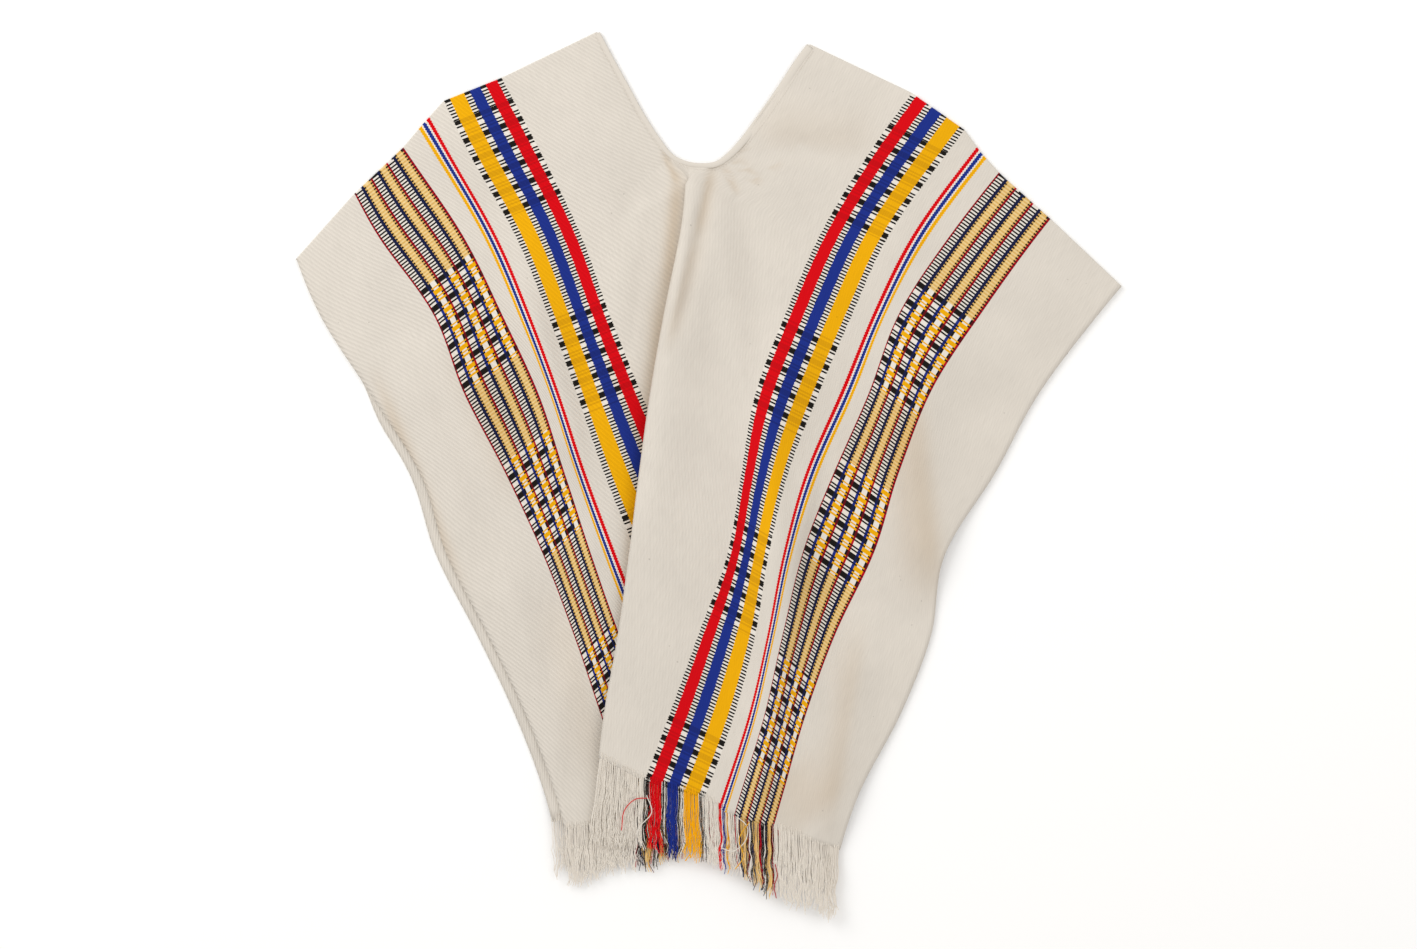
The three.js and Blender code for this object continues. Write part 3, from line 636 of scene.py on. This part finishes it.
mathNode, rampNode, mixNode = "ShaderNodeMath", "ShaderNodeValToRGB", "ShaderNodeMix"
vectorNode, noiseNode, surfaceNode = "ShaderNodeVectorMath", "ShaderNodeTexNoise", "ShaderNodeBsdfPrincipled"
rangeNode, outputNode = "ShaderNodeMapRange", "ShaderNodeOutputMaterial"

stripeColours = {
    "cream": "#d4cdc3", "white": "#e0dad1", "black": "#1a1714", "red": "#cf0310", "deepRed": "#be040f",
    "blue": "#1b2e82", "deepBlue": "#182770", "yellow": "#e4a604", "deepYellow": "#d29706",
    "paleYellow": "#e2c58c", "straw": "#d3ab62", "navy": "#151b3e", "darkRed": "#ad0620",
    # The last colour on the next line is the warm tint of the painted shade in the hollows and creases
    "wineRed": "#5c0a16", "paintedShade": "#e0cbae",
}
# Bands of the stripes from the side nearest the cloth's middle or left: width, the two colours that take
# turns along the warp, and the two that do so where the rungs gather in blocks
flagBands = (
    (10, "cream", "cream"), (6, "white", "black"), (13.5, "red", "red", "red", "deepRed"),
    (7, "white", "black"), (12.5, "blue", "blue", "blue", "deepBlue"), (7, "white", "black"),
    (17, "yellow", "yellow", "yellow", "deepYellow"), (7, "white", "black"), (21, "cream", "cream"),
    (3.8, "red", "red"), (1.8, "white", "white"), (3.8, "blue", "blue"), (1.8, "white", "white"),
    (3.8, "yellow", "yellow"), (9.0, "cream", "cream"),
)
brownRepeat = (
    (2, "darkRed", "wineRed"), (7, "white", "black"), (3, "navy", "navy", "blue", "navy"),
    (2, "straw", "black", "yellow", "black"), (6, "paleYellow", "straw", "yellow", "white"),
    (2, "straw", "black", "yellow", "black"),
)
brownBands = (
    (4, "cream", "cream"), *brownRepeat, *brownRepeat, *brownRepeat, (2.2, "darkRed", "wineRed"),
    (4.8, "cream", "cream"),
)
# Lengths along the warp of a block's dark (1) and light (0) parts
tickBands = ((5.7, 1), (1.5, 0), (1.7, 1), (4.5, 0), (1.7, 1), (1.5, 0), (1.7, 1), (2.2, 0))
blockSections = {   # where along the warp the rungs gather in blocks: start, end, start, end
    "flag": (21, 130, 240, 341, 444, 549, 656, 770),
    "brown": (142, 255, 333, 439, 539, 645),
}
weave = {
    "rungPeriod": 3.35, "edgeWave": 0.4, "edgeWavePeriod": 2.8,   # a stripe's edge steps in and out a little
    "flagFrom": 120.0, "brownFrom": 246.0,   # from the cloth's middle, on both halves
    "brownLeftEdges": (-332.0, 251.0),   # left and right half, as these bands aren't mirrored
    "rampLength": 800.0,   # warp length that the block ramps cover
}


def widthOf(bands):
    return sum(band[0] for band in bands)


def bandStops(bands, column, shown):   # a band without block colours keeps its plain ones
    starts = np.cumsum([0] + [band[0] for band in bands[:-1]]) / widthOf(bands)
    values = [band[column] if column < len(band) else band[column - 2] for band in bands]
    return [(float(start), shown(value)) for start, value in zip(starts, values)]


def colourOf(name):
    return linear(stripeColours[name])


def grey(value):
    return (value, value, value, 1.0)


# One stripe's colour from the share of its width: plain rungs, or blocks where the warp is in a block section
def stripeColour(add, bands, share, ticks, inBlocks):
    looks = []
    for tick, column in zip(ticks, (1, 3)):
        stops = (bandStops(bands, k, colourOf) for k in (column, column + 1))
        light, dark = (add(rampNode, (share,), bands=colours) for colours in stops)
        looks.append(add(mixNode, {0: tick, 6: light, 7: dark}, data_type="RGBA").outputs[2])
    return add(mixNode, {0: inBlocks, 6: looks[0], 7: looks[1]}, data_type="RGBA").outputs[2]


def tickNodes(add, along, fold):   # 1 where a dark rung lies, for plain rungs and for blocks
    rung = add(mathNode, (along, weave["rungPeriod"]), "DIVIDE")
    rung = add(mathNode, (rung,), "FRACT")
    block = add(mathNode, (fold, widthOf(tickBands)), "DIVIDE")
    block = add(mathNode, (block,), "FRACT")
    return (
        add(mathNode, (rung, 0.5), "LESS_THAN"),
        add(rampNode, (block,), bands=bandStops(tickBands, 1, grey)),
    )


def stripeGroup():   # colour of the cloth from the place across (mm from its middle) and along its warp
    inputs, outputs = {"Across": "Float", "Along": "Float"}, {"Colour": "Color"}
    tree, add, given = newGroup("stripe colours", "ShaderNodeTree", inputs, outputs)
    across, along = given.outputs["Across"], given.outputs["Along"]
    wave = add(mathNode, (along, 2 * math.pi / weave["edgeWavePeriod"]), "MULTIPLY")
    wave = add(mathNode, (wave,), "SINE")
    aside = add(mathNode, (across,), "ABSOLUTE")
    mirrored = add(mathNode, (wave, weave["edgeWave"], aside), "MULTIPLY_ADD")
    onRight = add(mathNode, (across, 0.0), "GREATER_THAN")
    left, right = weave["brownLeftEdges"]
    brownStart = add(mathNode, (onRight, right - left, left), "MULTIPLY_ADD")
    places = {
        "flag": (add(mathNode, (mirrored, weave["flagFrom"]), "SUBTRACT"), flagBands),
        "brown": (add(mathNode, (across, brownStart), "SUBTRACT"), brownBands),
    }
    fold = add(mathNode, (along,), "ABSOLUTE")
    down = add(mathNode, (fold, weave["rampLength"]), "DIVIDE")
    ticks = tickNodes(add, along, fold)
    colours = []
    for name, (place, bands) in places.items():
        share = add(mathNode, (place, widthOf(bands)), "DIVIDE", use_clamp=True)
        turns = [(edge / weave["rampLength"], grey(1 - i % 2)) for i, edge in enumerate(blockSections[name])]
        inBlocks = add(rampNode, (down,), bands=[(0.0, grey(0)), *turns])
        colours.append(stripeColour(add, bands, share, ticks, inBlocks))
    isBrown = add(mathNode, (mirrored, weave["brownFrom"]), "GREATER_THAN")
    chosen = add(mixNode, {0: isBrown, 6: colours[0], 7: colours[1]}, data_type="RGBA")
    add("NodeGroupOutput", (chosen.outputs[2],))
    return tree


stripes = stripeGroup()

# The diagonal ribs of each half: angle from the warp, spacing and relief. The real ones are finer, and
# these are drawn wide enough to show.
twill = {"left": (31, 3.8, 1.0), "right": (14, 2.7, 0.3)}
# What makes the cotton uneven: scale of each noise to the millimetre, and the range of it that becomes a
# range of brightness
cotton = {
    "ribTone": 0.045, "patchScale": 0.012, "patchRange": (0.3, 0.7, 0.96, 1.03),
    "slubStretch": (0.9, 0.06, 1.0), "slubRange": (0.35, 0.75, 1.025, 0.95),
    "speckScale": 0.045, "speckRange": (0.02, 0.045, 0.72, 1.0),
}


def twillRibs(add, across, along):   # height of the ribs, finer and flatter on the right half
    ribs = []
    for angle, spacing, depth in twill.values():
        turned = math.radians(angle)
        sloped = add(mathNode, (along, -math.sin(turned)), "MULTIPLY")
        place = add(mathNode, (across, math.cos(turned), sloped), "MULTIPLY_ADD")
        wave = add(mathNode, (place, 2 * math.pi / spacing), "MULTIPLY")
        wave = add(mathNode, (wave,), "SINE")
        ribs.append(add(mathNode, (wave, depth), "MULTIPLY"))
    onRight = add(mathNode, (across, 0.0), "GREATER_THAN")
    return add(mixNode, {0: onRight, 2: ribs[0], 3: ribs[1]}, data_type="FLOAT")


# Brightness from the ribs, broad patches, slubs along the warp and dark specks
def cottonTone(add, inMm, rib):
    patches = add(noiseNode, {"Vector": inMm, "Scale": cotton["patchScale"], "Detail": 3.0})
    tone = add(rangeNode, (patches, *cotton["patchRange"]))
    tone = add(mathNode, (rib, cotton["ribTone"], tone), "MULTIPLY_ADD")
    slubPlace = add(vectorNode, {0: inMm, 1: cotton["slubStretch"]}, "MULTIPLY")
    slubs = add(noiseNode, {"Vector": slubPlace, "Scale": 1.0, "Detail": 2.0})
    slubTone = add(rangeNode, (slubs, *cotton["slubRange"]))
    tone = add(mathNode, (tone, slubTone), "MULTIPLY")
    specks = add("ShaderNodeTexVoronoi", {
        "Vector": inMm, "Scale": cotton["speckScale"], "Randomness": 1.0,
    })
    speckTone = add(rangeNode, (specks, *cotton["speckRange"]))
    return add(mathNode, (tone, speckTone), "MULTIPLY")


def clothMaterial():   # creamy cotton twill with woven stripes, fine diagonal ribs, stray dark fibres and painted shade in the fold hollows and creases
    made, add = newMaterial("woven cotton twill")
    place = add("ShaderNodeUVMap", uv_map="flat cloth")
    inMm = add(vectorNode, {0: place, 3: 1 / mm}, "SCALE")
    flat = add("ShaderNodeSeparateXYZ", (inMm,))
    across, along = flat.outputs[0], flat.outputs[1]
    woven = add("ShaderNodeGroup", (across, along), node_tree=stripes)
    rib = twillRibs(add, across, along)
    shade = cottonTone(add, inMm, rib)
    # Painted shade: the warm tint multiplied into the colour where the painted shade attribute is set
    paintedShade = add("ShaderNodeAttribute", attribute_name="paintedShade").outputs["Fac"]
    shadedColour = add(mixNode, {0: paintedShade, 6: woven, 7: colourOf("paintedShade")}, data_type="RGBA",
                     blend_type="MULTIPLY")
    colour = add(vectorNode, {0: shadedColour.outputs[2], 3: shade.outputs[0]}, "SCALE")
    bump = add("ShaderNodeBump", {"Height": rib, "Strength": 0.5, "Distance": 0.3 * mm})
    surface = add(surfaceNode, {
        "Base Color": colour, "Roughness": 0.92, "Specular IOR Level": 0.1, "Sheen Weight": 0.04,
        "Normal": bump,
    })
    add(outputNode, (surface,))
    return made


cloth.data.materials.append(clothMaterial())

# Rolled neck hem: a flat oval bar beside the neckline, closed round the slit over both panels
neckHem = {"width": 5.0, "thickness": 1.4, "frontRise": 0.3, "sides": 10, "turnSteps": 6, "sections": 140}
frontHem = {   # flat at the left, rolled round the bottom and turned wide at the right
    "share": (0.0, 0.36, 0.5, 0.62, 0.75, 1.0),
    "width": (5.0, 5.0, 5.0, 7.0, 8.5, 8.0),
    "thickness": (1.3, 1.4, 2.6, 2.2, 1.9, 1.6),
}


def hemAt(share, size):
    return float(np.interp(share, frontHem["share"], frontHem[size]))


def hemRings():   # rings of points along the front, over one shoulder, along the back and over the other
    oval = (neckHem["width"], neckHem["thickness"])   # on the back and over the shoulders
    frontZ, backZ = zAt(1) + neckHem["frontRise"], oval[1] / 2
    shares = np.linspace(0, 1, neckHem["sections"])
    turns = np.linspace(0, math.pi, neckHem["turnSteps"] + 1)[1:-1]
    path = [(share, frontZ, hemAt(share, "width"), hemAt(share, "thickness"), 0.0) for share in shares]
    for share in (1.0, 0.0):
        start, end = (frontZ, backZ) if share else (backZ, frontZ)
        for angle in turns:
            z = mix(start, end, (1 - math.cos(angle)) / 2)
            path.append((share, z, *oval, math.sin(angle) * foldRadius))
        if share:
            path += [(share, backZ, *oval, 0.0) for share in shares[::-1]]
    centres, widths = [], []
    for share, z, width, _, outward in path:
        centre = np.array((*neckPoint(share, width / 2), z))
        wide = np.array((*neckPoint(share, 0), z)) - centre
        along = np.array((wide[1], -wide[0], 0.0)) / np.linalg.norm(wide)
        centres.append(centre + along * outward * (1 if share < 0.5 else -1))
        widths.append(wide)
    rings = []
    for i, (centre, wide) in enumerate(zip(centres, widths)):
        thick = np.cross(centres[(i + 1) % len(path)] - centres[i - 1], wide)
        thick *= path[i][3] / 2 / np.linalg.norm(thick)
        for angle in np.linspace(0, 2 * math.pi, neckHem["sides"], endpoint=False):
            rings.append(centre + wide * math.cos(angle) + thick * math.sin(angle))
    return rings, len(path)


def hemMaterial():   # the same creamy cotton, drawn into a dense rolled edge
    made, add = newMaterial("rolled cotton edge")
    looks = {"Base Color": colourOf("cream"), "Roughness": 0.92, "Specular IOR Level": 0.1}
    add(outputNode, (add(surfaceNode, looks),))
    return made


hemPoints, hemCount = hemRings()
sides = neckHem["sides"]
hemFaces = [
    (i * sides + k, i * sides + (k + 1) % sides, (i + 1) % hemCount * sides + (k + 1) % sides,
     (i + 1) % hemCount * sides + k)
    for i in range(hemCount) for k in range(sides)
]
neckEdge = newObject("rolled_neck_hem", [placed(*p) for p in hemPoints], hemFaces, hemMaterial())

# Hand stitches that hold the hem down, lying on the front
stitch = {
    "count": 105, "inset": 1.3, "aboveCloth": 0.1, "ends": (0.01, 0.99), "readings": 200, "seed": 5,
    "smallest": (0.44, 0.44, 2.08), "largest": (0.66, 0.66, 2.86),   # across, through and along
}
aboveAll = 80.0   # a height over everything, to look down from


def heightOn(x, y):   # the top of what lies at a place of the plan
    seen = bpy.context.evaluated_depsgraph_get()
    hit, place, *_ = scene.ray_cast(seen, Vector(placed(x, y, aboveAll)), Vector((0, 0, -1)))
    return place.z / mm if hit else zAt(0)


def pieceGroup(name, inputs):   # a node group that makes a piece of its material from a line
    geometry = {"Geometry": "Geometry"}
    return newGroup(name, "GeometryNodeTree", {**geometry, **inputs, "Material": "Material"}, geometry)


def finishPiece(add, given, mesh):   # a group ends in real faces with their material
    mesh = add("GeometryNodeRealizeInstances", (mesh,))
    mesh = add("GeometryNodeSetMaterial", {0: mesh, "Material": given.outputs["Material"]})
    add("NodeGroupOutput", (mesh,))


def stitchGroup():   # small egg shapes along the hem, turned with it
    tree, add, given = pieceGroup("hem stitches", {"Stitches": "Int", "Seed": "Int"})
    line = add("GeometryNodeMeshToCurve", (given,))
    places = add("GeometryNodeCurveToPoints", {0: line, "Count": given.outputs["Stitches"]}, mode="COUNT")
    shape = add("GeometryNodeMeshUVSphere", {"Segments": 6, "Rings": 6, "Radius": 0.5 * mm})
    size = add("FunctionNodeRandomValue", {
        0: stitch["smallest"], 1: stitch["largest"], "Seed": given.outputs["Seed"],
    }, data_type="FLOAT_VECTOR")
    made = add("GeometryNodeInstanceOnPoints", {
        0: places, "Instance": shape, "Rotation": places.outputs["Rotation"], "Scale": size,
    })
    finishPiece(add, given, made)
    return tree


def runNodes(made, group, values):   # a node group with its inputs set, then its result as a plain mesh
    modifier = made.modifiers.new(group.name, "NODES")
    modifier.node_group = group
    sockets = {item.name: item.identifier for item in group.interface.items_tree if item.in_out == "INPUT"}
    for name, value in values.items():
        modifier[sockets[name]] = value
    return plainMesh(made)


def newLine(name, points):
    return newObject(name, points, [], edges=[(i, i + 1) for i in range(len(points) - 1)])


shares = np.linspace(*stitch["ends"], stitch["readings"])
beside = [neckPoint(share, hemAt(share, "width") + stitch["inset"]) for share in shares]
stitches = newLine("neck_stitches", [placed(x, y, heightOn(x, y) + stitch["aboveCloth"]) for x, y in beside])
runNodes(stitches, stitchGroup(), {
    "Stitches": stitch["count"], "Seed": stitch["seed"], "Material": neckEdge.data.materials[0],
})

# Fringe: a thread for each warp end left free, in six rows, one for each layer of a hem
fringe = {
    "points": 9, "radius": 0.42, "unevenLength": 6.0, "tuftSway": 7.0, "threadSway": 3.0,
    "tuftNoise": 90.0, "threadNoise": 900.0,   # to the metre: how close tufts and single threads part
    "rootLow": (-1.0, 0.0, 0.1), "rootHigh": (1.0, 8.0, 0.9),   # where a thread starts, from the cloth's edge
    # The glow is painted light: the threads give off a little light of their own colour, which lightens the
    # shade between them
    "tipHeight": 0.8, "tipPerLayer": 1.75, "lighter": 1.15, "paintedGlow": 0.12,
}
# Solid, panel, layer, count of threads, and the x and y of the row's lower ends with their lean
fringeRows = (
    ("fringe_front_right", "front", "right", 620, (
        (-112, -368, -14), (-100, -370, -7), (-59, -373, 0), (-30, -380, 0), (-5, -386, 2), (30, -400, 3),
        (50, -414, 2), (85, -430, 0), (98, -436, 2), (104, -424, 0), (112, -441, -3), (124, -441, -5))),
    ("fringe_front_middle", "front", "pleat", 150, ((-110, -345, -5), (90, -360, 0))),
    ("fringe_front_left", "front", "left", 560, (
        (-146, -413, 3), (-115, -405, 0), (-97, -396, 0), (-59, -393, 0), (-40, -385, 0), (90, -362, 0))),
    ("fringe_back_right", "back", "right", 300, (
        (-100, -345, 0), (0, -365, 0), (60, -385, 0), (125, -425, -4))),
    ("fringe_back_middle", "back", "pleat", 120, ((-110, -335, 0), (90, -350, 0))),
    ("fringe_back_left", "back", "left", 300, ((-160, -402, 3), (-60, -385, 0), (90, -350, 0))),
)


# How far a thread swings sideways: its tuft's part, its own, and the lean of the row, all growing to its tip
def threadSway(add, along):
    sways = []
    for scale, detail, reach in (("tuftNoise", 1.0, "tuftSway"), ("threadNoise", 0.0, "threadSway")):
        noise = add(noiseNode, {"Scale": fringe[scale], "Detail": detail})
        centred = add(mathNode, (noise, 0.5), "SUBTRACT")
        sways.append(add(mathNode, (centred, 2 * fringe[reach] * mm), "MULTIPLY"))
    sway = add(mathNode, (*sways,), "ADD")
    lean = add("GeometryNodeInputNamedAttribute", {"Name": "lean"}, data_type="FLOAT")
    sway = add(mathNode, (sway, lean), "ADD")
    return add(mathNode, (sway, along), "MULTIPLY")


def threadRoots(add, given):   # a point for each thread along the hem, a little out of line
    hem = add("GeometryNodeMeshToCurve", (given,))
    roots = add("GeometryNodeCurveToPoints", {0: hem, "Count": given.outputs["Threads"]}, mode="COUNT")
    low, high = (tuple(v * mm for v in fringe[name]) for name in ("rootLow", "rootHigh"))
    jitter = add("FunctionNodeRandomValue", {
        0: low, 1: high, "Seed": given.outputs["Seed"],
    }, data_type="FLOAT_VECTOR")
    return add("GeometryNodeSetPosition", {0: roots, "Offset": jitter})


def threadGroup():   # warp threads that hang from the line of the hem, each to its own length
    tree, add, given = pieceGroup("free warp threads", {"Threads": "Int", "Tip Height": "Float", "Seed": "Int"})
    line = add("GeometryNodeCurvePrimitiveLine", {"Start": (0, 0, 0), "End": (0, -1, 0)})
    line = add("GeometryNodeResampleCurve", {0: line, "Count": fringe["points"]})
    uneven = add("FunctionNodeRandomValue", {
        2: -fringe["unevenLength"] * mm, 3: fringe["unevenLength"] * mm, "Seed": given.outputs["Seed"],
    }, data_type="FLOAT")
    length = add("GeometryNodeInputNamedAttribute", {"Name": "length"}, data_type="FLOAT")
    length = add(mathNode, (length, uneven.outputs[1]), "ADD")
    stretch = add("ShaderNodeCombineXYZ", (1.0, length, 1.0))
    threads = add("GeometryNodeInstanceOnPoints", {
        0: threadRoots(add, given), "Instance": line, "Scale": stretch,
    })
    threads = add("GeometryNodeRealizeInstances", (threads,))
    along = add("GeometryNodeSplineParameter")
    place = add("ShaderNodeSeparateXYZ", (add("GeometryNodeInputPosition"),))
    drop = add(mathNode, (given.outputs["Tip Height"], place.outputs[2]), "SUBTRACT")
    drop = add(mathNode, (drop, along), "MULTIPLY")
    offset = add("ShaderNodeCombineXYZ", (threadSway(add, along), 0.0, drop))
    threads = add("GeometryNodeSetPosition", {0: threads, "Offset": offset})
    outline = {"Resolution": 3, "Radius": fringe["radius"] * mm}
    ring = add("GeometryNodeCurvePrimitiveCircle", outline)
    mesh = add("GeometryNodeCurveToMesh", {0: threads, 1: ring, "Fill Caps": True})
    finishPiece(add, given, mesh)
    return tree


def threadMaterial():   # cotton threads in the colour of the stripe that they end, with a painted glow of that colour
    made, add = newMaterial("cotton fringe threads")
    across = add("ShaderNodeAttribute", attribute_name="across").outputs["Fac"]
    place = add(mathNode, (across, 1 / mm), "MULTIPLY")
    phase = add("ShaderNodeTexWhiteNoise", {"W": place}, noise_dimensions="1D")
    along = add(mathNode, (phase.outputs[0], 3 * weave["rungPeriod"]), "MULTIPLY")
    woven = add("ShaderNodeGroup", (place, along), node_tree=stripes)
    lighter = add(vectorNode, {0: woven, 3: fringe["lighter"]}, "SCALE")
    # Painted light: a faint glow in the stripe's colour, though the threads are no lamp
    surface = add(surfaceNode, {
        "Base Color": lighter, "Emission Color": woven, "Emission Strength": fringe["paintedGlow"],
        "Roughness": 0.85, "Specular IOR Level": 0.1, "Sheen Weight": 0.04,
    })
    add(outputNode, (surface,))
    return made


def hemEdge(row, layer):
    if layer == "pleat":
        return row["pleat"][arcSteps:-arcSteps][::-1]
    return row[layer]


threads = threadGroup()
threadLook = threadMaterial()
fringePieces = []
for number, (solid, panel, layer, count, tips) in enumerate(fringeRows):
    edge = hemEdge({"front": frontRows, "back": backRows}[panel][-1], layer)
    made = newLine(solid.replace("fringe", "threads"), [placed(*p[:3]) for p in edge])
    tipX, tipY, tipLean = zip(*tips)
    ends = {
        "across": [p[3] * mm for p in edge],
        "length": [(p[1] - np.interp(p[0], tipX, tipY)) * mm for p in edge],
        "lean": [np.interp(p[0], tipX, tipLean) * mm for p in edge],
    }
    for name, values in ends.items():
        made.data.attributes.new(name, "FLOAT", "POINT").data.foreach_set("value", values)
    level = (sum(p[2] for p in edge) / len(edge) - zAt(0)) / clothSizes["pitch"]
    tipHeight = fringe["tipHeight"] + fringe["tipPerLayer"] * level
    values = {"Threads": count, "Tip Height": tipHeight * mm, "Seed": number, "Material": threadLook}
    fringePieces.append(runNodes(made, threads, values))
print("fringe:", sum(len(piece.data.polygons) for piece in fringePieces), "faces")

# Threads that have come loose from the tufts: colour, and places along each
looseRows = (
    ("red", ((-59, -322), (-73, -323), (-84, -334), (-87, -354))),
    ("white", ((-62, -319), (-57, -336), (-70, -352), (-72, -367))),
    ("white", ((28, -340), (38, -350), (36, -364), (24, -374), (12, -371))),
    ("yellow", ((40, -345), (30, -362), (34, -380), (26, -392))),
    ("darkRed", ((66, -388), (68, -400), (65, -410), (67, -422))),
)
loose = {"radius": 0.5}


def roundThreadGroup():   # a round thread along a line
    tree, add, given = pieceGroup("round threads", {"Radius": "Float"})
    line = add("GeometryNodeMeshToCurve", (given,))
    outline = {"Resolution": 5, "Radius": given.outputs["Radius"]}
    ring = add("GeometryNodeCurvePrimitiveCircle", outline)
    finishPiece(add, given, add("GeometryNodeCurveToMesh", {0: line, 1: ring, "Fill Caps": True}))
    return tree


def looseMaterial(colour):   # a single dull cotton thread
    made, add = newMaterial(f"loose {colour} cotton")
    add(outputNode, (add(surfaceNode, {"Base Color": colourOf(colour), "Roughness": 0.9}),))
    return made


roundThreads = roundThreadGroup()
loosePieces = []
for number, (colour, places) in enumerate(looseRows):
    path = roundedCurve(places, perSpan=10)
    top = max(heightOn(x, y) for x, y in path) + loose["radius"]
    thread = newLine(f"loose_thread_{number}", [placed(x, y, top) for x, y in path])
    values = {"Radius": loose["radius"] * mm, "Material": looseMaterial(colour)}
    loosePieces.append(runNodes(thread, roundThreads, values))

for piece, nodes, slot in [(cloth, "cloth", "woven_cloth"), (neckEdge, "neck_hem", "neck_hem")] + [
        (piece, solid, "fringe") for piece, (solid, *_) in zip(fringePieces, fringeRows)]:
    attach(piece, "root")
    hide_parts(nodes)
for piece, slot in [(stitches, "neck_hem"), *((piece, "fringe") for piece in loosePieces)]:
    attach(piece, "root")

# Pale floor, soft light from the upper left, camera straight above
studio = {
    "floor": "#fbfbfb", "floorReach": 3.0, "floorZ": -0.0005, "sky": "#f8f6f3", "skyStrength": 0.84,
    "lamps": (("upper left", (-1.5, 1.2, 1.6), 1.6, 24.0), ("upper right", (1.6, 0.6, 2.2), 2.0, 12.0)),
}
floorMaterial, add = newMaterial("pale floor")
add(outputNode, (add(surfaceNode, {"Base Color": linear(studio["floor"]), "Roughness": 1.0}),))
corners = [(x * studio["floorReach"], y * studio["floorReach"], studio["floorZ"])
           for x, y in ((-1, -1), (1, -1), (1, 1), (-1, 1))]
floor = newObject("floor", corners, [(0, 1, 2, 3)], floorMaterial)

world = bpy.data.worlds.new("studio")
world.use_nodes = True
sky = world.node_tree.nodes["Background"]
sky.inputs["Color"].default_value = linear(studio["sky"])
sky.inputs["Strength"].default_value = studio["skyStrength"]
scene.world = world
scene.view_settings.view_transform = "Standard"
for name, place, size, power in studio["lamps"]:
    lamp = bpy.data.lights.new(name, "AREA")
    lamp.size = size
    lamp.energy = power
    lampObject = bpy.data.objects.new(name, lamp)
    lampObject.location = place
    lampObject.rotation_euler = (-Vector(place)).to_track_quat("-Z", "Y").to_euler()
    scene.collection.objects.link(lampObject)

lens, sensor, pictureWidth = 85.0, 36.0, 1417.0
camera = bpy.data.cameras.new("camera")
camera.lens = lens
camera.sensor_width = sensor
cameraObject = bpy.data.objects.new("camera", camera)
cameraObject.location = placed(-0.5, 0.0, pictureWidth * lens / sensor)
scene.collection.objects.link(cameraObject)
scene.camera = cameraObject

print("scene ready")
